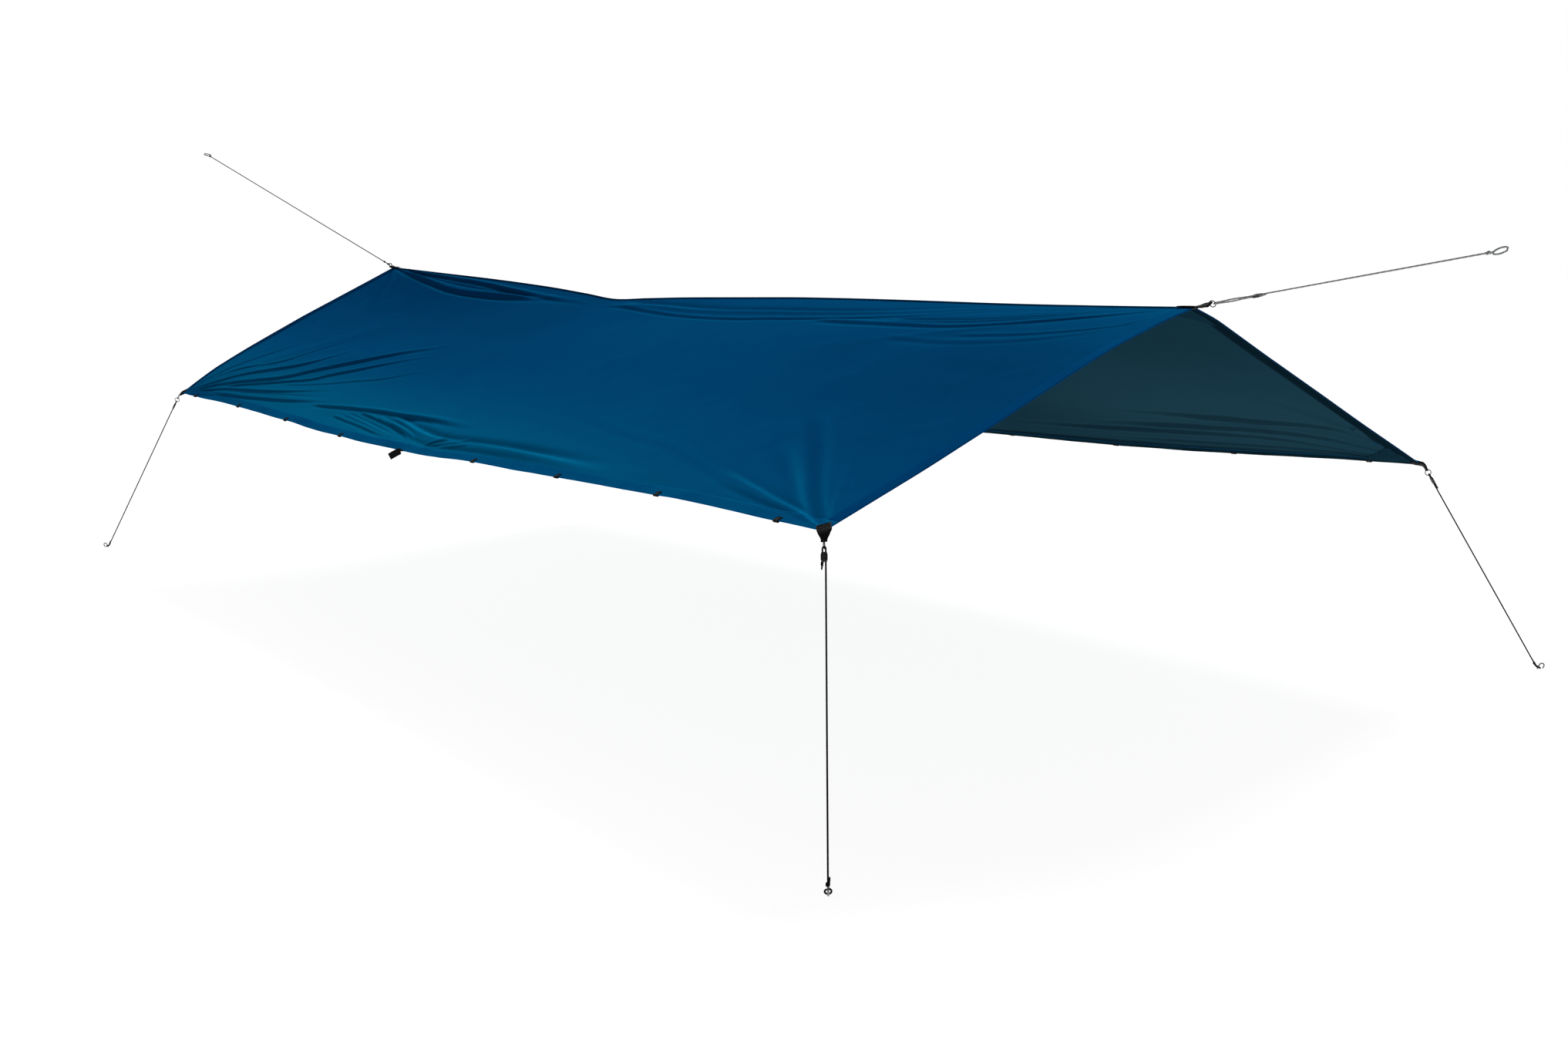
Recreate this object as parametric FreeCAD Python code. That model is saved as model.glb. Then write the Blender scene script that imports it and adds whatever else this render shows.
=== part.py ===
import FreeCAD, Part
import math
import os
from FreeCAD import Vector

os.makedirs("parts", exist_ok=True)

# Ridge-pitched rectangular tarp shelter with its webbing, guy lines and pegs.
# Millimetres, +Z up, ground at Z = 0.  X runs along the ridge, left end at -X; the near
# half of the canopy falls towards -Y, the far half towards +Y.  The shelter is laid out
# about the middle of the ridge; the files are shifted so that the near left peg enters
# the ground at the origin.

X_AXIS, Y_AXIS, Z_AXIS = Vector(1, 0, 0), Vector(0, 1, 0), Vector(0, 0, 1)

# Pitched corners of the canopy, each pair (left, right)
RIDGE_ENDS = (Vector(-2242.0, 0.0, 1205.0), Vector(2242.0, 0.0, 1155.0))
NEAR_CORNERS = (Vector(-2199.0, -1035.0, 682.0), Vector(2178.0, -1226.0, 690.0))
FAR_CORNERS = (Vector(-2197.0, 1194.0, 620.0), Vector(2232.0, 1215.0, 643.0))

# Edge curves: (fraction along the edge, rise above the straight chord).
# Ridge and hems run from left to right, gables from the ridge down to the corner.
RIDGE_SAG = [
    (0, 0), (.1, -14), (.2, -28), (.3, -47), (.36, -64), (.406, -78), (.45, -68),
    (.5, -57), (.57, -45), (.66, -31), (.75, -23), (.85, -17), (.93, -9), (1, 0)]
NEAR_HEM_SAG = [
    (0, 0), (.11, 0), (.205, -10), (.29, -22), (.37, -30), (.44, -34), (.5, -34),
    (.6, -22), (.7, -14), (.79, -3), (.87, 2), (.94, 1), (1, 0)]
FAR_HEM_SAG = [
    (0, 0), (.15, -24), (.3, -42), (.45, -52), (.6, -53), (.72, -44), (.8, -35),
    (.87, -23), (.93, -13), (1, 0)]
NEAR_GABLE_RISES = (
    [(0, 0), (.13, 7), (.31, 16), (.49, 24), (.66, 26), (.83, 22), (1, 0)],
    [(0, 0), (.12, 15), (.26, 23), (.42, 17), (.62, 7), (.8, 1), (1, 0)])
FAR_GABLE_RISES = (
    [(0, 0), (.2, 6), (.5, 3), (.8, -2), (1, 0)],
    [(0, 0), (.1, 8), (.3, 4), (.5, 2), (.75, -1), (1, 0)])
BELLY = 14.0                  # hollow in the middle of each half

# Cloth
PANEL_T = 1.6
HEM_T = 3.2
HEM_W = 40.0                  # long hems
GABLE_HEM_W = 40.0
HEM_END_INSET = 0.0015        # fraction of the hem left free at each end
CLOTH_GAP = 0.3               # between neighbouring pieces of cloth
RIDGE_CLEAR = 38.0            # the cloth starts this far from the ridge line

# Ridge seam tape
SEAM_HALF = 13.0
SEAM_T = 2.4
SEAM_END_INSET = 0.001        # fraction of the ridge
SEAM_STATIONS = 41
# (fraction of the half width, height from the ridge line)
SEAM_SECTION = [(-1, -4.6), (-.45, -1.2), (0, 0), (.45, -1.2), (1, -4.6)]

# Reinforcement patches
PATCH = 150.0                 # side of a corner patch
PATCH_T = 1.2
PATCH_GAP = 1.6               # between the panel and the patch
RIDGE_PATCH_RUN = 0.9         # along the ridge, in patch sides
RIDGE_PATCH_DROP = 0.8        # down the slope, in patch sides
MID_PATCH_HALF = 0.4          # half width, in patch sides
MID_PATCH_DEPTH = 0.55        # in patch sides
CUT_MARGIN = 60.0             # the cutter overruns both ends of the slanting edge
CUT_DEPTH = 300.0
CUT_HEIGHT = 3000.0

# Webbing loops on the hems
LOOP_PITCH = 0.1149425        # fraction of the hem between two loops
LOOPS_PER_HALF_HEM = 4
LOOP_W = 18.0
LOOP_LEG = 14.0               # reach over the cloth
LOOP_OUT = 5.5                # reach beyond the hem edge
LOOP_T = 1.1
LOOP_SLOT = HEM_T + 0.8
PULL_OUT_W = 22.0
PULL_OUT_LENGTH = 37.0
PULL_OUT_T = 4.4
PULL_OUT_SLOT = 1.8
PULL_OUT_ROOT = 3.0           # solid webbing before the slot
PULL_OUT_OFFSET = 5.0         # root of the loop from the hem edge

# Corner gussets; distances run from the root of the tongue
WEBBING_T = 2.2
WEBBING_LIFT = 0.5            # gap between the hem and a gusset
HOLE_R = 4.5
HOLE_AT = 24.0
TONGUE_TIP = HOLE_AT + 7.0
TONGUE_CHAMFER = 3.0
TONGUE_OFFSET = 5.5           # root of the tongue outside the cloth corner
# (across, along)
GUSSET_FOOT = [(-19, -30), (19, -30), (17, 7), (-17, 7)]
GUSSET_TONGUE = [
    (-16.5, 1), (16.5, 1), (8, TONGUE_TIP - TONGUE_CHAMFER), (5, TONGUE_TIP),
    (-5, TONGUE_TIP), (-8, TONGUE_TIP - TONGUE_CHAMFER)]

# Cord, rings and tensioners
CORD_R = 2.1
RING_R = 9.0
RING_WIRE = 1.25
LINE_START = RING_R * 2       # far side of the ring, from the webbing hole
STRAND = 3.65                 # half distance of the doubled cord
CORD_OVERLAP = 1.0            # the straight cord runs this far into its tied eye
BORE_R = 2.2
TENS_L, TENS_W, TENS_T = 22.0, 16.0, 7.4
TENS_END_HALF = 0.40          # half width of the ends, in tensioner widths
TENS_SIDE_HALF = 0.55         # half length of the straight sides, in half lengths
TENS_AT = 62.0                # centre of a corner tensioner from the tongue root
RETURN_OVERLAP = 5.0          # the return cord runs this far into the tensioner

# Pegs
GUY_RUN_X, GUY_RUN_Y = 298.0, 250.0    # cloth corner to guy foot, in plan
EYE_R = 7.0                   # tied loop round a peg
EYE_Z = 9.0                   # height at which the guy cord ends
EYE_DROP = 0.35               # eye centre below the cord end, in eye radii
PEG_R = 2.0
PEG_SHANK = 165.0
PEG_HOOK = 7.0
PEG_HOOK_LEG = 7.0
PEG_HEAD = 9.0                # shank above the centre of the tied eye
PEG_LEAN = math.radians(66.0)          # shank to the ground

# Ridge tabs and lines
RIDGE_L_DIR = Vector(-0.924, -0.165, 0.345).normalize()
RIDGE_R_DIR = Vector(0.984, 0.0, 0.178).normalize()
RIDGE_L_LEN = 1580.0
RIDGE_R_LEN = 760.0
TAB_W = 24.0
TAB_FOOT = 46.0               # reach of the foot back over the ridge
TAB_FOOT_OUT = 8.0            # reach of the foot beyond the ridge end
TAB_LIFT = 0.3
TAB_L_REACH = 14.0            # ridge end to tab hole
TAB_R_REACH = 46.0
TAB_R_TWIST = math.radians(27.0)       # about the tab's own length
RIDGE_TENS_AT = 190.0         # right tensioner from the ridge end
TIE_EYE_R = 16.0
LOOP_LINE_OVERLAP = 0.6       # the left cord runs this far into its loop

# Knots
KNOT_R, KNOT_WIRE = 3.2, 2.5
KNOT_HALF_PITCH = 1.9
KNOT_CORE_R, KNOT_CORE_L = 5.3, 4.8
KNOT_BORE_R, KNOT_BORE_L = CORD_R + 0.05, 20.0
LEFT_KNOTS_AT = (LINE_START + 9.0, LINE_START + 38.0, RIDGE_L_LEN - 8.0)
STOPPER_R, STOPPER_WIRE = 2.1, 1.6
STOPPER_TURNS_AT = (1.8, 4.0)          # from the end of the tensioner
STOPPER_CORE_R, STOPPER_CORE_L, STOPPER_CORE_AT = 2.15, 9.5, 1.0


# ---------------------------------------------------------------------------
# Vectors, frames and basic solids
# ---------------------------------------------------------------------------
def unit(vector):
    return Vector(vector).normalize()


def square_to(vector, axis):
    """Unit vector along the part of vector that is square to a unit axis."""
    return unit(vector - axis * vector.dot(axis))


def lerp(start, end, fraction):
    return start + (end - start) * fraction


def frame(origin, across, along):
    """Placement with X across and Z along."""
    x, z = across, along
    y = z.cross(x)
    return FreeCAD.Placement(FreeCAD.Matrix(
        x.x, y.x, z.x, origin.x,
        x.y, y.y, z.y, origin.y,
        x.z, y.z, z.z, origin.z,
        0, 0, 0, 1))


def placed(shape, placement):
    shape.Placement = placement * shape.Placement
    return shape


def plate(outline, thickness, z=0.0):
    """Flat plate centred on Y = 0 from an (x, z) outline, raised by z."""
    points = [Vector(px, -thickness / 2, pz + z) for px, pz in outline]
    face = Part.Face(Part.makePolygon(points + points[:1]))
    return face.extrude(Vector(0, thickness, 0))


def round_ended(width, radius, low, high):
    """Block along Z from low to high, its upper end rounded about X."""
    block = Part.makeBox(width, radius * 2, high - low, Vector(-width / 2, -radius, low))
    end = Part.makeCylinder(radius, width, Vector(-width / 2, 0, high), X_AXIS)
    return block.fuse(end)


def folded_webbing(width, radius, slot, low, slot_low, high):
    """Webbing folded round X at the height high, with a slot between its legs."""
    outer = round_ended(width, radius, low, high)
    inner = round_ended(width + 2, slot / 2, slot_low, high)
    return outer.cut(inner).removeSplitter()


def half_turn(radius, start, normal, centre, axis):
    """Round bar bent through 180 degrees about an axis."""
    face = Part.Face(Part.Wire(Part.makeCircle(radius, start, normal)))
    return face.revolve(centre, axis, 180)


def write(name, *shapes):
    """Save the solids of one piece, measured from ORIGIN."""
    solids = []
    for shape in shapes:
        shape = shape.copy()
        shape.translate(-ORIGIN)
        solids += shape.Solids
    piece = solids[0] if len(solids) == 1 else Part.makeCompound(solids)
    piece.exportStep("parts/%s.step" % name)


# ---------------------------------------------------------------------------
# Canopy surface
# ---------------------------------------------------------------------------
def curve(table, at):
    """Smooth curve through a table: cubics whose slopes never overshoot."""
    last = len(table) - 1
    chords = [(table[i + 1][1] - table[i][1]) / (table[i + 1][0] - table[i][0])
              for i in range(last)]
    slopes = [chords[0]]
    for before, after in zip(chords, chords[1:]):
        turns = before * after <= 0
        slopes.append(0.0 if turns else 2 * before * after / (before + after))
    slopes.append(chords[-1])
    i = 0
    while i < last - 1 and at > table[i + 1][0]:
        i += 1
    step = table[i + 1][0] - table[i][0]
    f = (at - table[i][0]) / step
    return ((1 + 2 * f) * (1 - f) ** 2 * table[i][1]
            + f * (1 - f) ** 2 * step * slopes[i]
            + f * f * (3 - 2 * f) * table[i + 1][1]
            + f * f * (f - 1) * step * slopes[i + 1])


def ridge(s):
    return lerp(*RIDGE_ENDS, s) + Z_AXIS * curve(RIDGE_SAG, s)


class Half:
    """One half of the canopy.

    s runs from left (0) to right (1), t from the ridge (0) to the hem (1).
    """

    def __init__(self, corners, hem_sag, gable_rises, y_sign):
        self.corners = corners
        self.hem_sag = hem_sag
        self.gable_rises = gable_rises
        self.y_sign = y_sign
        self.length = (corners[1] - corners[0]).Length
        self.width = sum((corners[end] - RIDGE_ENDS[end]).Length for end in (0, 1)) / 2
        down = (corners[0] + corners[1]) * 0.5 - (RIDGE_ENDS[0] + RIDGE_ENDS[1]) * 0.5
        normal = (RIDGE_ENDS[1] - RIDGE_ENDS[0]).cross(down)
        self.normal = unit(normal if normal.z >= 0 else -normal)

    def hem(self, s):
        return lerp(*self.corners, s) + Z_AXIS * curve(self.hem_sag, s)

    def hem_direction(self, s):
        return unit(self.hem(s + .004) - self.hem(s - .004))

    def gable(self, end, t):
        chord = lerp(RIDGE_ENDS[end], self.corners[end], t)
        return chord + Z_AXIS * curve(self.gable_rises[end], t)

    def point(self, s, t):
        """Coons patch between the four edges, hollowed in the middle."""
        edges = (ridge(s) * (1 - t) + self.hem(s) * t
                 + self.gable(0, t) * (1 - s) + self.gable(1, t) * s)
        flat = lerp(lerp(*RIDGE_ENDS, s), lerp(*self.corners, s), t)
        return edges - flat - Z_AXIS * (BELLY * 16 * s * (1 - s) * t * (1 - t))

    def sheet(self, s0, s1, t0, t1, thick, lift=0.0, s_count=49, t_count=23):
        """Curved sheet between two fractions each way, lifted off the cloth surface."""
        shift = self.normal * (lift - thick * 0.5)
        rows = []
        for i in range(s_count):
            s = s0 + (s1 - s0) * i / (s_count - 1)
            rows.append([self.point(s, t0 + (t1 - t0) * j / (t_count - 1)) + shift
                         for j in range(t_count)])
        surface = Part.BSplineSurface()
        surface.interpolate(rows)
        return surface.toShape().extrude(self.normal * thick)

    def patch(self, s0, s1, t0, t1):
        """Rectangular patch under the cloth."""
        lift = -(PANEL_T / 2 + PATCH_GAP + PATCH_T / 2)
        return self.sheet(s0, s1, t0, t1, PATCH_T, lift, s_count=9, t_count=9)

    def triangle(self, s, t, s_run, t_run):
        """Triangular patch under the cloth, its right angle at (s, t)."""
        s_range = sorted((s, s + s_run))
        t_range = sorted((t, t + t_run))
        whole = self.patch(*s_range, *t_range)
        square, s_tip, t_tip = [self.point(*at) for at in
                                ((s, t), (s + s_run, t), (s, t + t_run))]
        for point in (square, s_tip, t_tip):
            point.z = 0.0
        along = unit(t_tip - s_tip)
        away = square_to((s_tip + t_tip) * .5 - square, along)
        start = s_tip - along * CUT_MARGIN
        end = t_tip + along * CUT_MARGIN
        depth = away * CUT_DEPTH
        outline = Part.makePolygon([start, end, end + depth, start + depth, start])
        return whole.cut(Part.Face(outline).extrude(Z_AXIS * CUT_HEIGHT))


HALVES = {
    "near": Half(NEAR_CORNERS, NEAR_HEM_SAG, NEAR_GABLE_RISES, -1.0),
    "far": Half(FAR_CORNERS, FAR_HEM_SAG, FAR_GABLE_RISES, 1.0),
}


# ---------------------------------------------------------------------------
# Corners: where the webbing, line and peg of each corner lie
# ---------------------------------------------------------------------------
class Corner:
    def __init__(self, half, end):
        cloth = half.corners[end]
        run = Vector(GUY_RUN_X * (2 * end - 1), GUY_RUN_Y * half.y_sign, 0)
        along_hem = half.point((0.02, 0.98)[end], 1.0) - cloth
        up_gable = half.point(float(end), 0.94) - cloth
        normal = along_hem.cross(up_gable)
        normal = unit(normal if normal.z > 0 else -normal)
        self.plan = unit(run)
        self.line = unit(Vector(cloth.x + run.x, cloth.y + run.y, 0.0) - cloth)
        # outward diagonal and cross direction, both lying in the cloth
        self.outward = unit(self.plan - Z_AXIS * (self.plan.dot(normal) / normal.z))
        self.cloth_across = unit(normal.cross(self.outward))
        self.across = square_to(self.cloth_across, self.line)
        self.foot = cloth + normal * (HEM_T / 2 + WEBBING_T / 2 + WEBBING_LIFT)
        self.tongue = self.foot + self.outward * TONGUE_OFFSET
        hole = self.tongue + self.line * HOLE_AT
        self.frame = frame(hole, self.across, self.line)
        self.length = (hole.z - EYE_Z) / -self.line.z
        self.peg_down = unit(-self.plan * math.cos(PEG_LEAN) - Z_AXIS * math.sin(PEG_LEAN))
        cord_end = hole + self.line * self.length + self.across * STRAND
        self.eye = cord_end + self.plan * EYE_R - Z_AXIS * (EYE_R * EYE_DROP)


CORNERS = {"%s_%s" % (side, end_name): Corner(half, end)
           for side, half in HALVES.items()
           for end, end_name in enumerate(("left", "right"))}

first = CORNERS["near_left"]
ORIGIN = first.eye + first.peg_down * (first.eye.z / -first.peg_down.z)


# ---------------------------------------------------------------------------
# Ridge: seam tape, webbing tabs and left cord
# ---------------------------------------------------------------------------
def seam_tape():
    rows = []
    for i in range(SEAM_STATIONS):
        s = SEAM_END_INSET + (1 - 2 * SEAM_END_INSET) * i / (SEAM_STATIONS - 1)
        line = ridge(s)
        rows.append([Vector(line.x, SEAM_HALF * across, line.z + height)
                     for across, height in SEAM_SECTION])
    surface = Part.BSplineSurface()
    surface.interpolate(rows)
    return surface.toShape().extrude(Vector(0, 0, -SEAM_T))


def ridge_tab(ridge_end, direction, reach, twist=0.0):
    """Flat webbing tab over a ridge end; returns it and the frame at its hole."""
    level = square_to(Y_AXIS, direction)
    upright = level.cross(direction)
    if upright.z < 0:
        upright = -upright
    across = unit(level * math.cos(twist) + upright * math.sin(twist))
    foot = Part.makeBox(TAB_W, WEBBING_T, TAB_FOOT + TAB_FOOT_OUT,
                        Vector(-TAB_W / 2, -WEBBING_T / 2, -TAB_FOOT))
    tongue = Part.makeBox(TAB_W, WEBBING_T, reach, Vector(-TAB_W / 2, -WEBBING_T / 2, 0))
    tip = Part.makeCylinder(TAB_W / 2, WEBBING_T, Vector(0, -WEBBING_T / 2, reach), Y_AXIS)
    hole = Part.makeCylinder(HOLE_R, WEBBING_T + 2,
                             Vector(0, -WEBBING_T / 2 - 1, reach), Y_AXIS)
    tongue = tongue.fuse(tip).cut(hole)
    base = ridge_end + Z_AXIS * (WEBBING_T / 2 + TAB_LIFT)
    outward = X_AXIS * math.copysign(1, direction.x)
    foot = placed(foot, frame(base, level, outward))
    tongue = placed(tongue, frame(base, across, direction))
    hole_frame = frame(base + direction * reach, across, direction)
    return foot.fuse(tongue).removeSplitter(), hole_frame


def left_cord():
    """Loop through the tab, straight cord and tied eye."""
    loop = Part.makeTorus(RING_R, CORD_R, Vector(0, 0, RING_R), X_AXIS)
    start = LINE_START - LOOP_LINE_OVERLAP
    line = Part.makeCylinder(CORD_R, RIDGE_L_LEN - start, Vector(0, 0, start), Z_AXIS)
    eye = Part.makeTorus(TIE_EYE_R, CORD_R, Vector(0, 0, RIDGE_L_LEN + TIE_EYE_R), Y_AXIS)
    return loop.fuse([line, eye]).removeSplitter()


def cord_knot(z):
    lower, upper = [Part.makeTorus(KNOT_R, KNOT_WIRE, Vector(0, 0, z + offset), Z_AXIS)
                    for offset in (-KNOT_HALF_PITCH, KNOT_HALF_PITCH)]
    core, bore = [Part.makeCylinder(radius, length, Vector(0, 0, z - length / 2), Z_AXIS)
                  for radius, length in ((KNOT_CORE_R, KNOT_CORE_L),
                                         (KNOT_BORE_R, KNOT_BORE_L))]
    return lower.fuse(upper).fuse(core).cut(bore).removeSplitter()


# ---------------------------------------------------------------------------
# Guy lines, in their own frame: Z runs down the line, X across the pair of
# strands, the origin is the hole of the webbing
# ---------------------------------------------------------------------------
def tensioner(z):
    """Flat runner with chamfered corners and two bores."""
    half = TENS_L / 2
    end_x, side_x = TENS_W * TENS_END_HALF, TENS_W / 2
    side_z = half * TENS_SIDE_HALF
    body = plate([(-end_x, -half), (end_x, -half), (side_x, -side_z), (side_x, side_z),
                  (end_x, half), (-end_x, half), (-side_x, side_z), (-side_x, -side_z)],
                 TENS_T, z)
    for x in (-STRAND, STRAND):
        body = body.cut(Part.makeCylinder(BORE_R, TENS_L + 4,
                                          Vector(x, 0, z - half - 2), Z_AXIS))
    return body


def stopper_knot(z):
    first_turn, second_turn = [
        Part.makeTorus(STOPPER_R, STOPPER_WIRE, Vector(-STRAND, 0, z + offset), Z_AXIS)
        for offset in STOPPER_TURNS_AT]
    core = Part.makeCylinder(STOPPER_CORE_R, STOPPER_CORE_L,
                             Vector(-STRAND, 0, z + STOPPER_CORE_AT), Z_AXIS)
    return first_turn.fuse(second_turn).fuse(core).removeSplitter()


def write_guy(name, line_frame, tens_at, length, eye):
    """Ring, cord with its eye, return strand, tensioner and stopper knot."""
    start = Vector(STRAND, 0, LINE_START)
    strand = Part.makeCylinder(CORD_R, length + CORD_OVERLAP - LINE_START, start, Z_AXIS)
    bight = half_turn(CORD_R, start, Z_AXIS, Vector(0, 0, LINE_START), Y_AXIS)
    return_length = tens_at - TENS_L / 2 + RETURN_OVERLAP - LINE_START
    pieces = {
        "ring": Part.makeTorus(RING_R, RING_WIRE, Vector(0, 0, RING_R), X_AXIS),
        "cord": bight.fuse([strand, eye]).removeSplitter(),
        "return_cord": Part.makeCylinder(CORD_R, return_length,
                                         Vector(-STRAND, 0, LINE_START), Z_AXIS),
        "tensioner": tensioner(tens_at),
        "stopper_knot": stopper_knot(tens_at + TENS_L / 2),
    }
    for piece, shape in pieces.items():
        write("%s_%s" % (name, piece), placed(shape, line_frame))


def gusset(corner):
    """Webbing foot on the cloth with a tapered tongue and its hole."""
    foot = placed(plate(GUSSET_FOOT, WEBBING_T),
                  frame(corner.foot, corner.cloth_across, corner.outward))
    hole = Part.makeCylinder(HOLE_R, 10, Vector(0, -5, HOLE_AT), Y_AXIS)
    tongue = placed(plate(GUSSET_TONGUE, WEBBING_T).cut(hole),
                    frame(corner.tongue, corner.across, corner.line))
    return foot.fuse(tongue).removeSplitter()


def peg(corner):
    """Wire peg: straight shank, hooked head opening away from the shelter."""
    down = corner.peg_down
    up = -down
    hook_out = square_to(corner.plan, down)
    top = corner.eye + up * PEG_HEAD
    shank = Part.makeCylinder(PEG_R, PEG_SHANK, top, down)
    hook = half_turn(PEG_R, top, up, top + hook_out * PEG_HOOK, up.cross(hook_out))
    leg = Part.makeCylinder(PEG_R, PEG_HOOK_LEG, top + hook_out * (PEG_HOOK * 2), down)
    return shank.fuse([hook, leg]).removeSplitter()


# ---------------------------------------------------------------------------
# Pieces of one canopy half
# ---------------------------------------------------------------------------
def write_cloth(side, half):
    """Panel, hems and reinforcement patches."""
    s_gap, t_gap = CLOTH_GAP / half.length, CLOTH_GAP / half.width
    hem_top = 1.0 - HEM_W / half.width
    ridge_t = RIDGE_CLEAR / half.width
    gable_s = GABLE_HEM_W / half.length
    write(side + "_panel", half.sheet(gable_s + s_gap, 1 - gable_s - s_gap,
                                      ridge_t, hem_top - t_gap, PANEL_T))
    write(side + "_hem", half.sheet(HEM_END_INSET, 1 - HEM_END_INSET, hem_top, 1.0,
                                    HEM_T, t_count=3))
    for end, s0, s1 in (("left", 0.0, gable_s), ("right", 1 - gable_s, 1.0)):
        write("%s_gable_hem_%s" % (side, end),
              half.sheet(s0, s1, ridge_t, hem_top - t_gap * 2, HEM_T, s_count=3))

    s_patch, t_patch = PATCH / half.length, PATCH / half.width
    s_edge = gable_s + s_gap * 2
    t_edge = hem_top - t_gap * 3
    ridge_patches = []
    for end, s, sign in (("left", s_edge, 1), ("right", 1 - s_edge, -1)):
        write("%s_%s_corner_patch" % (side, end),
              half.triangle(s, t_edge, sign * s_patch, -t_patch))
        ridge_patches.append(half.triangle(s, ridge_t, sign * s_patch * RIDGE_PATCH_RUN,
                                           t_patch * RIDGE_PATCH_DROP))
    write(side + "_ridge_patches", *ridge_patches)
    mid_half = s_patch * MID_PATCH_HALF
    write(side + "_mid_patch", half.patch(.5 - mid_half, .5 + mid_half,
                                          t_edge - t_patch * MID_PATCH_DEPTH, t_edge))


def hem_loop(half, s):
    """Short strap folded over the edge of the hem."""
    edge = half.hem(s)
    across = half.hem_direction(s)
    outward = square_to(edge - half.point(s, .993), across)
    radius = LOOP_SLOT / 2 + LOOP_T
    strap = folded_webbing(LOOP_W, radius, LOOP_SLOT, low=-LOOP_LEG,
                           slot_low=-LOOP_LEG - 1, high=LOOP_OUT - radius)
    return placed(strap, frame(edge, across, outward))


def pull_out_loop(half):
    """Larger webbing loop on edge at the middle of the hem."""
    outward = unit(Vector(-.408, .816 * half.y_sign, -.408))
    radius = PULL_OUT_T / 2
    band = folded_webbing(PULL_OUT_W, radius, PULL_OUT_SLOT, low=0,
                          slot_low=PULL_OUT_ROOT, high=PULL_OUT_LENGTH - radius)
    root = half.hem(.5) + outward * PULL_OUT_OFFSET
    return placed(band, frame(root, square_to(Z_AXIS, outward), outward))


# ---------------------------------------------------------------------------
# Build
# ---------------------------------------------------------------------------
write("ridge_seam_tape", seam_tape())
tab, left_frame = ridge_tab(RIDGE_ENDS[0], RIDGE_L_DIR, TAB_L_REACH)
write("ridge_tab_left", tab)
tab, right_frame = ridge_tab(RIDGE_ENDS[1], RIDGE_R_DIR, TAB_R_REACH, TAB_R_TWIST)
write("ridge_tab_right", tab)

write("ridge_left_cord", placed(left_cord(), left_frame))
write("ridge_left_knots", *[placed(cord_knot(z), left_frame) for z in LEFT_KNOTS_AT])
tie_eye = Part.makeTorus(TIE_EYE_R, CORD_R,
                         Vector(STRAND, 0, RIDGE_R_LEN + TIE_EYE_R), Y_AXIS)
write_guy("ridge_right", right_frame, RIDGE_TENS_AT - TAB_R_REACH, RIDGE_R_LEN, tie_eye)

for name, corner in CORNERS.items():
    write(name + "_gusset", gusset(corner))
    # the eye lies round the peg, so it is brought back into the frame of the line
    peg_eye = placed(Part.makeTorus(EYE_R, CORD_R, corner.eye, corner.peg_down),
                     corner.frame.inverse())
    write_guy("guy_" + name, corner.frame, TENS_AT - HOLE_AT, corner.length, peg_eye)
    write("guy_%s_peg" % name, peg(corner))

for side, half in HALVES.items():
    write_cloth(side, half)
    steps = range(-LOOPS_PER_HALF_HEM, LOOPS_PER_HALF_HEM + 1)
    write(side + "_hem_loops",
          *[hem_loop(half, .5 + k * LOOP_PITCH) for k in steps if k != 0])
    write(side + "_pull_out_loop", pull_out_loop(half))
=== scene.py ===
# A ridge tarp: two cloth panels that meet in a ridge, with webbing, guy lines, runners and pegs.
# Metres, +Z up. The origin is on the floor at the near left peg. The ridge runs along X from left
# (-X) to right (+X); the near panel hangs towards -Y and the far panel towards +Y.
import math
from types import SimpleNamespace

import bmesh
import bpy
import numpy as np
from mathutils import Matrix, Vector

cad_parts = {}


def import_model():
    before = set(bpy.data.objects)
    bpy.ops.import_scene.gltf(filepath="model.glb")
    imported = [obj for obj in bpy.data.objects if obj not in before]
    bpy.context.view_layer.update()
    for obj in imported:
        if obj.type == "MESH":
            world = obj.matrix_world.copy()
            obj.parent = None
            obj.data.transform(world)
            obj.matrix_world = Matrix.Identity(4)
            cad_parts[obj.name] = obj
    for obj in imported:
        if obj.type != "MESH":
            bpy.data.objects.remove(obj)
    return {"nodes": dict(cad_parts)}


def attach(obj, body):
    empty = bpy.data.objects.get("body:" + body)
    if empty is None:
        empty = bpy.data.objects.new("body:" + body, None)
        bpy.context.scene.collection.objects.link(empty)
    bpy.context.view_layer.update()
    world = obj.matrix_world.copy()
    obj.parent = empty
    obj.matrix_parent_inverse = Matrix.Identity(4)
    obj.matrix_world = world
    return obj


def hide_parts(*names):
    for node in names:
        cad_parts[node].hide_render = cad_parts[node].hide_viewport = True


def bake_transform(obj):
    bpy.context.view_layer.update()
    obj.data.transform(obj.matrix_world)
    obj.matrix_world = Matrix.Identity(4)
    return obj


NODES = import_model()["nodes"]
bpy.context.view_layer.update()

MM = .001
TURN = 2 * math.pi
UP = np.array([0.0, 0.0, 1.0])
PEG = np.array([-2.4975161719997923, -1.2916039246709288, 0.0])  # from below the ridge middle


def place(x, y, z):
    """A point given from the floor below the ridge middle."""
    return np.array([x, y, z]) - PEG


# ---------------------------------------------------------------------------
# canopy dimensions
# ---------------------------------------------------------------------------
# Panel coordinates: along = 0 at the left end, 1 at the right; down = 0 at the ridge, 1 at the hem.
LENGTH = 4.40         # of a panel along the ridge
HEM_WIDTH = 0.040
CLOTH_THICK = .0011
BELLY = 0.014         # how far the middle of a panel hangs
RIDGE_ENDS = place(-2.242, 0.0, 1.205), place(2.242, 0.0, 1.155)
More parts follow.
